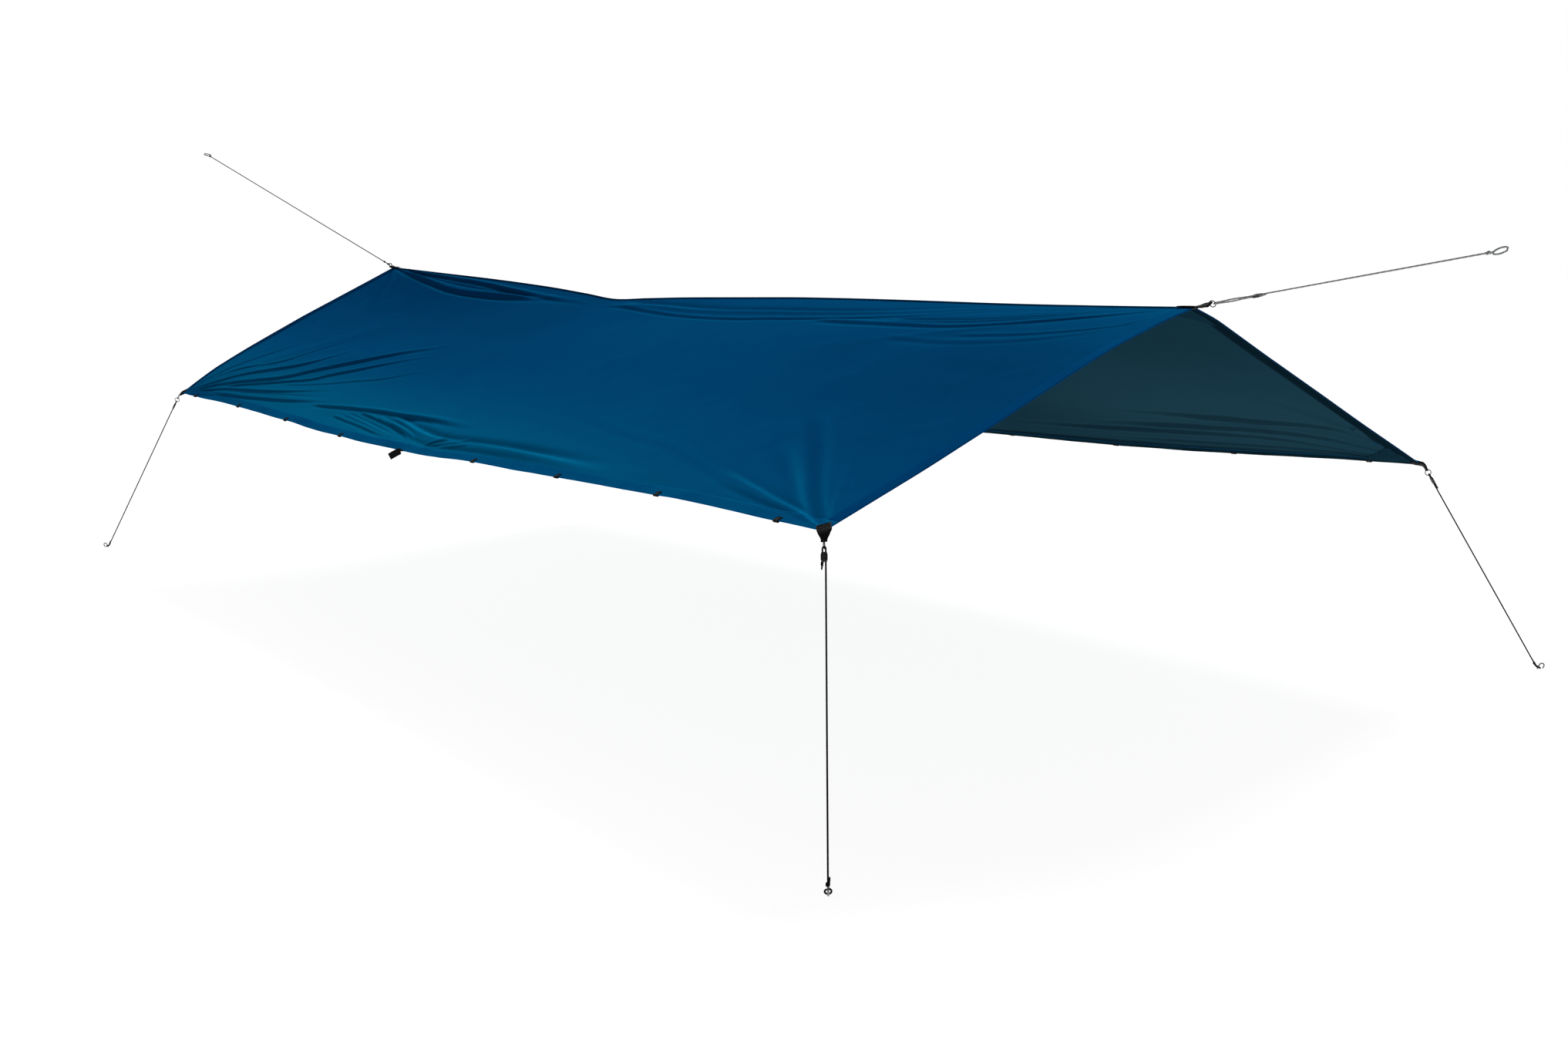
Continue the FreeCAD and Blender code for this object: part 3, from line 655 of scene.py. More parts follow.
def cord_material(name, low, high, tracer, tracer_level):
    """Braid: eight helices each way round the cord, a tracer yarn and fuzz."""
    lay = .0042          # length along the cord of one crossing
    shader = Shader(name)
    uv = shader.uv()
    along, around, _ = shader.split(uv)     # metres, turns
    right_phase = along * (TURN / lay) + around * (8 * TURN)
    left_phase = along * (TURN / lay) - around * (8 * TURN)
    right, left = right_phase.sine(), left_phase.sine()
    height = shader.math("MAXIMUM", right, left)
    fuzz = shader.noise(uv, scale=600.0, detail=3.0, rough=.7)
    colour = shader.ramp(height * .35 + fuzz * .5, [(.1, low), (.8, high)])
    traced = (along * (TURN / (4 * lay)) + around * TURN).sine() > tracer_level
    colour = shader.mix(traced * (right > .1), colour, tracer)
    rough = fuzz * .2 + .5
    braid = shader.bump(height, strength=.8, distance=.00035)
    normal = shader.bump(fuzz, strength=.3, distance=.0001, Normal=braid)
    shader.surface(Base_Color=colour, Roughness=rough, Normal=normal,
                   Specular_IOR_Level=.12, Sheen_Weight=.02)
    return shader.material


def plastic_material(name, colour):
    """Moulded plastic: fine texture, brighter rubbed edges."""
    shader = Shader(name)
    position = shader.object_position()
    pointiness = shader.value("NewGeometry", output="Pointiness")
    grain = shader.noise(position, scale=2600.0, detail=3.0, rough=.6)
    edge = shader.ramp(pointiness, [(.5, BLACK), (.6, WHITE)])
    rubbed = tuple(channel * 4 + .03 for channel in colour)
    speck = tuple(channel * 2 + .01 for channel in colour)
    mixed = shader.mix(edge * .35, colour, rubbed)
    mixed = shader.mix(grain * .2, mixed, speck)
    shader.surface(Base_Color=mixed, Roughness=grain * .22 + .34,
                   Normal=shader.bump(grain, strength=.25, distance=.0001))
    return shader.material


def metal_material(name, colour, roughness):
    """Drawn wire: lengthwise scratches and dull patches."""
    shader = Shader(name)
    position = shader.object_position()
    stretched = shader.value("Mapping", {0: position, "Scale": (1, 1, .06)})
    scratches = shader.noise(stretched, scale=1800.0, detail=4.0, rough=.7)
    dull = shader.noise(position, scale=60.0, detail=4.0, rough=.6)
    mixed = shader.ramp(scratches * .4 + dull * .6, [(.3, scaled(colour, .6)), (.7, colour)])
    shader.surface(Base_Color=mixed, Metallic=.95, Roughness=dull * .25 + roughness,
                   Normal=shader.bump(scratches, strength=.2, distance=.00008))
    return shader.material


def floor_material():
    """White paper that also glows."""
    shader = Shader("floor_paper")
    position = shader.object_position()
    tone = shader.noise(position, scale=3.0, detail=4.0, rough=.5)
    colour = shader.ramp(tone, [(.3, (.83, .83, .83)), (.7, (.86, .86, .86))])
    grain = shader.noise(position, scale=400.0)
    shader.surface(Base_Color=colour, Roughness=.9, Specular_IOR_Level=0.0,
                   Normal=shader.bump(grain, strength=.05, distance=.0004))
    shader.add_over(.70, shader.value("Emission", {"Color": WHITE, "Strength": 1.32}))
    return shader.material


INNER_LOOK = dict(low=(.0062, .0290, .048), high=(.0084, .0370, .060), glow=(.02, .07, .10),
                  roughness=.5, inner=True)
CANOPY_OUT = canopy_material(
    "canopy_outer", low=(.0005, .074, .262), high=(.0005, .090, .300), glow=(.0008, .20, .42),
    roughness=.42)
CANOPY_IN = {"near": canopy_material("canopy_inner", **INNER_LOOK)}
CANOPY_IN["far"] = canopy_material("canopy_inner_far", roll_edge=FAR.width, **INNER_LOOK)
# long hem: painted lighter and tealer than the cloth, a painted highlight along the hem
HEM_OUT_PAINTED_HIGHLIGHT = hem_material(
    "hem_outer_painted_highlight", low=(.0005, .085, .265), high=(.0006, .130, .340), thread=(.0007, .17, .42),
    roughness=.43)
# gable edges: darker copies of the hem cloth with weaker sheen, painted shade
GABLE_RIGHT_SHADED = hem_material(
    "gable_edge_outer", low=(.0004, .050, .205), high=(.0004, .064, .245),
    thread=(.0005, .10, .33), roughness=.48, sheen=.11)
# hem undersides: near black, far darker than the underside cloth, painted shade of hems seen edge-on
HEM_IN_SHADED = hem_material(
    "hem_inner_painted_shade", low=(.0009, .0050, .0095), high=(.0014, .0072, .0130),
    thread=(.010, .028, .042), roughness=.56, inner=True)
SEAM = hem_material(
    "seam_outer", low=(.0002, .012, .050), high=(.0002, .017, .068), thread=(.0004, .012, .04),
    roughness=.55, rows=(-.0095, .0095), sheen=.06)
# painted shade: the left gable edge is painted darker still
GABLE_LEFT_SHADED = hem_material(
    "gable_edge_outer_left_painted_shade", low=(.0003, .026, .110), high=(.0003, .036, .14),
    thread=(.0004, .05, .18), roughness=.52, sheen=.07)
PATCH = hem_material(
    "patch_inner", low=(.0036, .0190, .0320), high=(.0050, .0245, .0400),
    thread=(.014, .042, .06), roughness=.52, rows=(.006, .012), inner=True)
WEBBING = [
    webbing_material("black_webbing", low=(.0010, .0010, .0012), high=(.0055, .0055, .0062)),
    webbing_material("bartack_thread", low=(.002, .002, .0024), high=(.010, .010, .011),
                     mapped=False, density=2.0)]
CORDS = {
    "black_cord": cord_material(
        "black_cord", low=(.0012, .0012, .0014), high=(.0065, .0065, .0072),
        tracer=(.02, .02, .022), tracer_level=.96),
    "grey_cord": cord_material(
        "grey_cord", low=(.16, .165, .17), high=(.40, .41, .42),
        tracer=(.62, .63, .64), tracer_level=.50)}
PLASTIC = plastic_material("runner_plastic", colour=(.006, .006, .007))
RING_METAL = metal_material("ring_wire", colour=(.035, .035, .037), roughness=.5)
PEG_METAL = metal_material("peg_wire", colour=(.30, .31, .32), roughness=.34)


# ---------------------------------------------------------------------------
# sheets
# ---------------------------------------------------------------------------
def link(name, data):
    item = bpy.data.objects.new(name, data)
    bpy.context.scene.collection.objects.link(item)
    return item


def register(item, node=None, body=None):
    if node:
        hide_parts(node)
    if body:
        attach(item, body)


def blend_side(item):
    """Bake the item's transform into its mesh."""
    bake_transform(item)


def slab(name, points, normals, thick, materials, uv, lift=0.0):
    """Closed sheet on a grid of points, its middle raised by lift; materials: outside, underside."""
    rows, columns = points.shape[:2]
    top = (points + normals * (lift + thick / 2)).reshape(-1, 3)
    bottom = (points + normals * (lift - thick / 2)).reshape(-1, 3)
    verts = np.concatenate([top, bottom])
    under = rows * columns
    index = np.arange(under).reshape(rows, columns)
    quads = np.stack([index[:-1, :-1], index[1:, :-1], index[1:, 1:], index[:-1, 1:]], -1)
    quads = quads.reshape(-1, 4)
    first = verts[quads[0]]
    facing = np.cross(first[1] - first[0], first[2] - first[0])
    inverted = facing @ normals.reshape(-1, 3)[0] < 0
    if inverted:
        quads = quads[:, ::-1]
    border = np.concatenate([index[0, :], index[1:, -1], index[-1, -2::-1], index[-2:0:-1, 0]])
    rim = []
    for here, after in zip(border, np.roll(border, -1)):
        a, b = (after, here) if inverted else (here, after)
        rim.append([a, b, b + under, a + under])
    faces = np.concatenate([quads, (quads + under)[:, ::-1], rim])
    underside = len(materials) - 1
    slots = [0] * len(quads) + [underside] * len(quads) + [0] * len(rim)

    mesh = bpy.data.meshes.new(name)
    mesh.from_pydata(verts.tolist(), [], faces.tolist())
    for material in materials:
        mesh.materials.append(material)
    mesh.polygons.foreach_set("material_index", np.array(slots, np.int32))
    layer = mesh.uv_layers.new(name="UVMap")
    corners = np.empty(len(mesh.loops), np.int32)
    mesh.loops.foreach_get("vertex_index", corners)
    uv = np.concatenate([uv.reshape(-1, 2)] * 2).astype(np.float32)
    layer.data.foreach_set("uv", uv[corners].ravel())
    mesh.polygons.foreach_set("use_smooth", np.ones(len(mesh.polygons), bool))
    mesh.update()
    mesh.validate()
    return link(name, mesh)


def canopy(panel):
    # rows are closest where the creases are: below the ridge and over the lower part of the panel
    fine = panel.row_step * 1.0
    down = [0.0]
    while down[-1] < 1:
        creased = down[-1] < .27 or down[-1] > .42
        down.append(down[-1] + (fine if creased else fine * 2.2) / panel.width)
    down = np.array(down) / down[-1] * (1 - .012 / panel.width)
    count = int(LENGTH / (panel.column_step * 1.0))
    along = np.linspace(.0006, .9994, count)
    grid = np.meshgrid(along, down, indexing="ij")
    points, _ = cloth(panel, *grid)
    uv = np.stack([grid[0] * LENGTH, grid[1] * panel.width], -1)
    item = slab(panel.name + "_canopy", points, grid_normals(points), CLOTH_THICK,
                [CANOPY_OUT, CANOPY_IN[panel.name]], uv)
    # how far each spot leans into or out of the light inside a fold
    height = fold_height(panel, *grid)
    lean = (np.gradient(height, along * LENGTH, axis=0) * panel.lit[0]
            + np.gradient(height, down * panel.width, axis=1) * panel.lit[1])
    attribute = item.data.attributes.new("lean", "FLOAT", "POINT")
    values = np.tile(np.clip(lean, -1, 1).ravel(), 2).astype(np.float32)
    attribute.data.foreach_set("value", values)
    register(item, panel.name + "_panel")
    blend_side(item)


def edge_strip(name, panel, along, down, counts, thick, outside, uv, node):
    """Hem over a range of the panel; uv maps (along, down) to metres along and across it."""
    grid = np.meshgrid(np.linspace(*along, counts[0]), np.linspace(*down, counts[1]), indexing="ij")
    points, _ = cloth(panel, *grid)
    item = slab(panel.name + name, points, grid_normals(points), thick, [outside, HEM_IN_SHADED],
                np.stack(uv(*grid), -1))
    register(item, panel.name + node)
    return item


def hems(panel):
    width = panel.width
    hem_top = 1 - HEM_WIDTH / width
    strip = edge_strip("_long_hem", panel, (0.0, 1.0), (hem_top, 1.0), (881, 13), .0030, HEM_OUT_PAINTED_HIGHLIGHT,
                       lambda x, y: (x * LENGTH, (1 - y) * width), "_hem")
    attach(strip, panel.body)
    share = HEM_WIDTH / LENGTH
    for end, along, outside, uv in (
            ("left", (0.0, share), GABLE_LEFT_SHADED, lambda x, y: (y * width, x * LENGTH)),
            ("right", (1 - share, 1.0), GABLE_RIGHT_SHADED, lambda x, y: (y * width, (1 - x) * LENGTH))):
        strip = edge_strip("_gable_edge_" + end, panel, along, (0.0, hem_top + .002), (9, 301),
                           .0026, outside, uv, "_gable_hem_" + end)
        blend_side(strip)


def ridge_seam():
    """Tape that straddles the two panels."""
    half = .0125
    along = np.linspace(.001, .999, 441)
    rows = []
    for k in range(-4, 5):
        panel = NEAR if k <= 0 else FAR
        rows.append(cloth(panel, along, np.full_like(along, abs(k) / 4 * half / panel.width))[0])
    points = np.stack(rows, 1)
    points[:, 4] += UP * .0004
    uv = np.stack(np.meshgrid(along * LENGTH, np.linspace(-half, half, 9), indexing="ij"), -1)
    seam = slab("ridge_seam", points, grid_normals(points), .0030, [SEAM, HEM_IN_SHADED], uv)
    register(seam, "ridge_seam_tape", "ridge")


# ---------------------------------------------------------------------------
# tubes, tapes and stitches
# ---------------------------------------------------------------------------
THREAD, HEAVY_THREAD = .00032, .0004      # radii of sewing thread


def unit(vector):
    vector = np.asarray(vector, float)
    return vector / (np.linalg.norm(vector) + 1e-15)


def unit_rows(rows):
    return rows / (np.linalg.norm(rows, axis=1, keepdims=True) + 1e-15)


def curve_through(points, steps):
    """Catmull-Rom curve through control points, with the given steps per span."""
    p = np.array(points, float)
    p = np.concatenate([[2 * p[0] - p[1]], p, [2 * p[-1] - p[-2]]])
    curve = []
    for i in range(1, len(p) - 2):
        for k in range(steps):
            f = k / steps
            curve.append(.5 * (
                (2 * p[i]) + (p[i + 1] - p[i - 1]) * f
                + (2 * p[i - 1] - 5 * p[i] + 4 * p[i + 1] - p[i + 2]) * f * f
                + (3 * p[i] - p[i - 1] - 3 * p[i + 1] + p[i + 2]) * f ** 3))
    curve.append(p[-2])
    return np.array(curve)


class Builder:
    """Gathers swept tubes and tapes into one mesh."""
    def __init__(self):
        self.verts, self.faces, self.uvs, self.slots = [], [], [], []

    def sweep(self, points, side, out, ring, across, slot=0, closed=False):
        """Sweep rings of (side, out) offsets; across is the v coordinate of each ring point."""
        count, size = ring.shape[:2]
        base = len(self.verts)
        verts = points[:, None] + side[:, None] * ring[..., :1] + out[:, None] * ring[..., 1:]
        self.verts += [tuple(vert) for vert in verts.reshape(-1, 3)]
        steps = np.linalg.norm(np.diff(points, axis=0), axis=1)
        along = np.concatenate([[0], np.cumsum(steps)])

        def face(corners, uv):
            self.faces.append([base + corner for corner in corners])
            self.uvs += uv
            self.slots.append(slot)

        for i in range(count if closed else count - 1):
            j = (i + 1) % count
            start = along[i]
            end = along[j] if j else along[-1] + np.linalg.norm(points[0] - points[-1])
            for k in range(size):
                after = (k + 1) % size
                face([i * size + k, i * size + after, j * size + after, j * size + k],
                     [(start, across[k]), (start, across[k + 1]),
                      (end, across[k + 1]), (end, across[k])])
        if not closed:
            last = (count - 1) * size
            face(list(range(size))[::-1], [(along[0], across[k]) for k in range(size)][::-1])
            face([last + k for k in range(size)], [(along[-1], across[k]) for k in range(size)])

    def tube(self, points, radius, segments=12, slot=0, closed=False):
        if closed:
            forward = unit_rows(np.roll(points, -1, 0) - np.roll(points, 1, 0))
        else:
            forward = unit_rows(np.gradient(points, axis=0))
        turned = np.cross(forward[0], [.3, .2, 1.0])
        side = []
        for direction in forward:
            turned = unit(turned - direction * (turned @ direction))
            side.append(turned)
        side = np.array(side)
        radii = np.full(len(points), radius, float)
        if not closed:      # soften the cut ends
            radii[0] *= .75
            radii[-1] *= .75
        angles = np.linspace(0, TURN, segments, endpoint=False)
        ring = np.stack([np.cos(angles) * radii[:, None], np.sin(angles) * radii[:, None]], -1)
        self.sweep(points, side, np.cross(forward, side), ring,
                   np.linspace(0, 1, segments + 1), slot, closed)

    def tape(self, points, side, width, thick):
        """Flat webbing with thinned edges; side is its width direction."""
        forward = unit_rows(np.gradient(points, axis=0))
        side = np.broadcast_to(np.asarray(side, float), points.shape)
        side = side - forward * np.sum(side * forward, 1, keepdims=True)
        side = side / np.linalg.norm(side, axis=1, keepdims=True)
        half = np.broadcast_to(np.asarray(width, float), (len(points),))[:, None] / 2
        x = np.array([-1, -.93, -.6, -.2, .2, .6, .93, 1])     # share of the half width
        y = np.array([0, .85, 1, 1, 1, 1, .85, 0])             # share of the half thickness
        x, y = np.concatenate([x, x[-2:0:-1]]), np.concatenate([y, -y[-2:0:-1]])
        ring = np.stack([half * x, np.broadcast_to(y * thick / 2, (len(points), len(x)))], -1)
        self.sweep(points, side, np.cross(forward, side), ring,
                   np.concatenate([x, x[:1]]) * float(np.mean(half)))

    def tack(self, centre, across, along, size, rows, normal, radius=THREAD):
        """Bartack: one thread zigzagging across size[0] while it creeps along size[1]."""
        width, length = size
        points = []
        for i in range(rows + 1):
            f = i / rows - .5
            sign = 1 if i % 2 else -1
            for shift, reach, rise in ((0, sign * .97, -.9), (.3, sign * .6, .8), (.7, -sign * .6, .8)):
                points.append(centre + along * (f + shift / rows) * length
                              + across * reach * width / 2 + normal * radius * rise)
        self.tube(np.array(points), radius, 5, slot=1)

    def stitch_line(self, start, end, normal, pitch, radius):
        """Separate lock stitches along a straight line."""
        direction = unit(end - start)
        for i in range(int(np.linalg.norm(end - start) / pitch)):
            self.tube(np.array([
                start + direction * (i + f) * pitch + normal * radius * rise
                for f, rise in ((.06, -.6), (.2, .55), (.5, .9), (.8, .55), (.94, -.6))]),
                radius, 5, slot=1)

    def stitch_box(self, base, across, inward, normal, ends, end_size, end_rows,
                   middle, half, side_size, side_rows, radius=THREAD, diagonal=None):
        """Tacks across at each of ends, then one down each side, half away from the middle.

        diagonal: half width, start and end of the stitch lines that cross inside the box.
        """
        for at in ends:
            self.tack(base + inward * at, across, inward, end_size, end_rows, normal, radius)
        for sign in (-1, 1):
            self.tack(base + inward * middle + across * half * sign, across, inward,
                      side_size, side_rows, normal, radius)
            if diagonal:
                reach, start, end = diagonal
                self.stitch_line(base + inward * start - across * reach * sign,
                                 base + inward * end + across * reach * sign,
                                 normal, .0030, radius)

    def make(self, name, materials):
        mesh = bpy.data.meshes.new(name)
        mesh.from_pydata(self.verts, [], self.faces)
        for material in materials:
            mesh.materials.append(material)
        mesh.polygons.foreach_set("material_index", np.array(self.slots, np.int32))
        layer = mesh.uv_layers.new(name="UVMap")
        layer.data.foreach_set("uv", np.array(self.uvs, np.float32).ravel())
        mesh.polygons.foreach_set("use_smooth", np.ones(len(mesh.polygons), bool))
        mesh.update()
        item = link(name, mesh)
        work = bmesh.new()
        work.from_mesh(mesh)
        bmesh.ops.recalc_face_normals(work, faces=work.faces)
        work.to_mesh(mesh)
        work.free()
        return item


# ---------------------------------------------------------------------------
# hem loops and the pull-out in the middle of each hem
# ---------------------------------------------------------------------------
LOOP_PITCH = 0.1149425      # share of the hem between loops
# upper half of a hem loop: (distance in from the hem edge, height), in metres
LOOP_HALF = [(.0142, .0023), (.0110, .0025), (.0060, .0025), (.0020, .0025), (-.0010, .0029),
             (-.0038, .0021)]
# one leg of the pull-out: (distance out, offset from the middle), in metres
PULL_OUT_LEG = [(0, .0016), (.004, .0019), (.011, .0022), (.019, .0024), (.027, .0022),
                (.0325, .0016), (.0355, .0009)]


def hem_frame(panel, along):
    """Point on the hem edge, direction along it, direction into the cloth, upward normal."""
    step = .002
    stations = np.array([along, min(1, along + step), max(0, along - step), along])
    points, _ = cloth(panel, stations, np.array([1.0, 1.0, 1.0, 1 - .004]))
    tangent, inward = unit(points[1] - points[2]), unit(points[3] - points[0])
    normal = unit(np.cross(tangent, inward))
    return points[0], tangent, inward, normal if normal[2] >= 0 else -normal


def hem_loops(panel):
    loops = Builder()
    for k in (-4, -3, -2, -1, 1, 2, 3, 4):
        edge, tangent, inward, normal = hem_frame(panel, .5 + k * LOOP_PITCH)
        jitter = .0005 * math.sin(k * 7.3)

        def bend(distance, height):
            return edge + inward * distance + normal * (height + (jitter if distance < 0 else 0))

        path = [bend(distance, height) for distance, height in LOOP_HALF]
        path.append(edge - inward * (.0050 + jitter))
        path += [bend(distance, -height) for distance, height in LOOP_HALF[::-1]]
        loops.tape(curve_through(path, 5), tangent, .018, .0011)
        for sign in (1, -1):
            loops.stitch_box(edge + normal * .0031 * sign, tangent, inward, normal * sign,
                             ends=(.0118,), end_size=(.0160, .0024), end_rows=7,
                             middle=.0072, half=.0074, side_size=(.0016, .0100), side_rows=11)
    register(loops.make(panel.name + "_loops_sewn", WEBBING),
             panel.name + "_hem_loops", panel.body)


def pull_out(panel):
    """Webbing loop that stands out from the hem on edge, and its sewn root under the hem."""
    edge, tangent, inward, normal = hem_frame(panel, .5)
    out = unit([-.408, .816 * panel.outward, -.408])
    wide = unit(UP - out * out[2])
    thin = np.cross(out, wide)
    foot = edge + out * .005

    loop = Builder()
    path = [foot + thin * offset + out * reach for reach, offset in PULL_OUT_LEG]
    path.append(foot + out * .0367)
    path += [foot - thin * offset * .85 + out * reach for reach, offset in PULL_OUT_LEG[::-1]]
    points = curve_through(path, 6)
    reach = ((points - foot) @ out)[:, None]
    points = points - UP * .0025 * (reach / .037) ** 2      # droop
    reach = ((points - foot) @ out)[:, None]
    twist = (wide * np.clip(reach / .004 + .35, 0, 1)
             + tangent * .25 * np.maximum(0, 1 - reach / .008))
    loop.tape(points, twist, .0215, .0015)
    for sign in (1, -1):
        loop.tack(foot + thin * .0029 * sign + out * .0062, wide, out, (.0200, .0030), 8,
                  thin * sign)
    item = loop.make(panel.name + "_pull_out", WEBBING)
    register(item, panel.name + "_pull_out_loop")
    tuple((foot + out * .0034).tolist())
    tuple((foot + out * .0150).tolist())
    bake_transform(item)

    root = Builder()
    path = [edge + inward * distance - normal * depth for distance, depth in (
        (.026, .0023), (.014, .0025), (.004, .0026), (-.0004, .0022))]
    points = curve_through(path + [foot - out * .0018, foot + out * .0028], 6)
    f = np.linspace(0, 1, len(points))
    turn = np.clip((f - .55) / .45, 0, 1)[:, None]
    root.tape(points, tangent * (1 - turn) + wide * turn,
              np.interp(f, [0, .5, .8, 1], [.0220, .0220, .0215, .0205]), .0022)
    root.stitch_box(edge - normal * .0037, tangent, inward, -normal,
                    ends=(.0070, .0220), end_size=(.0190, .0028), end_rows=8,
                    middle=.0145, half=.0082, side_size=(.0022, .0130), side_rows=11)
    register(root.make(panel.name + "_pull_out_root", WEBBING), body=panel.body)


# ---------------------------------------------------------------------------
# lines: cords, knots and runners
# ---------------------------------------------------------------------------
CORD_RADIUS = 2.1 * MM
STRAND = 3.65 * MM          # each of a pair of strands lies this far from the middle
PEG_EYE_RADIUS = 7 * MM
TIED_EYE_RADIUS = 16 * MM
BIGHT_HEIGHT = 18 * MM      # where the strands leave the bight over the ring
# runner rows: (share of half height, share of half width, share of half thickness)
RUNNER_ROWS = [
    (-1, .56, .55), (-.985, .66, .82), (-.93, .74, .95), (-.8, .86, 1), (-.62, .97, 1),
    (-.45, 1, 1), (-.2, .985, .94), (0, .975, .90), (.2, .985, .94), (.45, 1, 1), (.62, .97, 1),
    (.8, .86, 1), (.93, .74, .95), (.985, .66, .82), (1, .56, .55)]


class Line:
    """Frame of a line: x across the strands, z out along them, y square to both."""
    def __init__(self, origin, across, out):
        self.origin, self.across, self.out = origin, unit(across), unit(out)
        self.facing = np.cross(self.out, self.across)

    def at(self, x, y, z):
        x, y, z = (part[..., None] for part in np.broadcast_arrays(x, y, z))
        return self.origin + self.across * x + self.facing * y + self.out * z

    def through(self, *rows):
        """Points given as (x, y, z) rows."""
        return self.at(*np.array(rows).T)


def knot(line, z, x, size, phase):
    """Overhand knot drawn as an opened trefoil around the strand."""
    t = np.linspace(.16, TURN - .16, 72)
    lobe = 2.0 + np.cos(3 * t)
    return line.at(x + size * lobe * np.sin(2 * t + phase) * .62, size * np.sin(3 * t) * .95,
                   z + size * 1.15 * lobe * np.cos(2 * t + phase))


def bight(line):
    """Half circle over the ring, ending on the +x strand."""
    angles = np.linspace(0, math.pi, 17)
    return line.at(STRAND * np.cos(angles), 0, BIGHT_HEIGHT - STRAND * np.sin(angles))[::-1]


def tied_eye(line, x, z):
    angles = np.linspace(-math.pi, math.pi, 49)
    return line.at(x + TIED_EYE_RADIUS * np.sin(angles), 1.2 * MM * angles / math.pi,
                   z - TIED_EYE_RADIUS * np.cos(angles))


def rope(name, parts, cord, node, body=None):
    """Cord object from (points, radius) parts."""
    builder = Builder()
    for points, radius in parts:
        builder.tube(points, radius)
    item = builder.make(name, [CORDS[cord]])
    register(item, node, body)
    return item


def runner(prefix, line, z):
    """Flat runner with rounded ends, rims round its two cord holes and grip ribs."""
    builder = Builder()
    half_height, half_width, half_thick = 11 * MM, 8 * MM, 3.7 * MM
    heights, widths, thicks = np.array(RUNNER_ROWS).T
    angles = np.linspace(0, TURN, 40, endpoint=False)
    power = 2 / 3.4         # squares off the oval section
    x = np.sign(np.cos(angles)) * np.abs(np.cos(angles)) ** power
    y = np.sign(np.sin(angles)) * np.abs(np.sin(angles)) ** power
    points = line.at(0, 0, z + heights * half_height)
    ring = np.stack([widths[:, None] * half_width * x, thicks[:, None] * half_thick * y], -1)
    builder.sweep(points, np.broadcast_to(line.across, points.shape),
                  np.broadcast_to(line.facing, points.shape), ring, np.linspace(0, 1, 41))
    rim_radius, bead = 2.55 * MM, .45 * MM
    angles = np.linspace(0, TURN, 20, endpoint=False)
    for x in (-STRAND, STRAND):
        for sign in (-1, 1):
            builder.tube(line.at(x + rim_radius * np.cos(angles), rim_radius * np.sin(angles),
                                 z + sign * half_height * .985), bead, 6, closed=True)
    f = np.linspace(-1, 1, 9)
    for sign in (-1, 1):
        for share in (-.28, 0, .28):
            builder.tube(line.at(4.6 * MM * f, sign * half_thick * (.98 - .06 * f * f),
                                 z + share * half_height), bead, 6)
    register(builder.make(prefix + "_line_runner", [PLASTIC]),
             prefix + "_tensioner", prefix + "_runner")


def no_bow(z):
    return 0.0 * z


def tension_end(prefix, body, line, z, cord, count, bow, knot_shift, knot_size, knot_share):
    """Return strand up to the runner at height z, the runner, and the stopper knot past it."""
    strand = np.linspace(17.6 * MM, z - 5.2 * MM, count)
    item = rope(body + "_return", [(line.at(-STRAND - bow(strand), 0, strand), CORD_RADIUS)],
                cord, prefix + "_return_cord")
    tuple(line.at(-STRAND, 0, BIGHT_HEIGHT))
    tuple(line.at(-STRAND, 0, z - 6 * MM))
    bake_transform(item)
    runner(prefix, line, z)
    top = z + 15.5 * MM
    stop = knot(line, top, -STRAND - knot_shift, knot_size, phase=1.2)
    lead = line.through((-STRAND, 0, z + 6 * MM), (-STRAND, 0, z + 12 * MM),
                        (-STRAND - .4 * MM, .2 * MM, top))
    tail = line.through((-STRAND - .8 * MM, 0, top), (-STRAND - 1.2 * MM, .8 * MM, top + 7 * MM),
                        (-STRAND - 2 * MM, 1.2 * MM, top + 14 * MM))
    rope(prefix + "_stop",
         [(stop, CORD_RADIUS * knot_share), (lead, CORD_RADIUS), (tail, CORD_RADIUS)],
         cord, prefix + "_stopper_knot", prefix + "_runner")


def finish_cad(node, material):
    """Keep a CAD piece and give it a material and smooth shading."""
    mesh = NODES[node].data
    mesh.materials.clear()
    mesh.materials.append(material)
    for polygon in mesh.polygons:
        polygon.use_smooth = True


# ---------------------------------------------------------------------------
# corners
# ---------------------------------------------------------------------------
PEG_OFFSET = (.298, .250)       # from a hem corner out to where the line is aimed, on the floor
PEG_LEAN = math.radians(66.0)
RUNNER_HEIGHT = 38 * MM


def offsets(origin, normal, inward, rows):
    """Points from (height along normal, distance inward) rows in mm."""
    return [origin + normal * height * MM + inward * distance * MM for height, distance in rows]


def ring_wrap(line, up, radius, gap):
    """Half circle of tape round the ring wire, from above to below."""
    angles = np.linspace(math.pi * .5, -math.pi * .5, 9)[:, None]
    return list(line.origin + up * radius * np.sin(angles)
                + line.out * (radius * np.cos(angles) + gap))


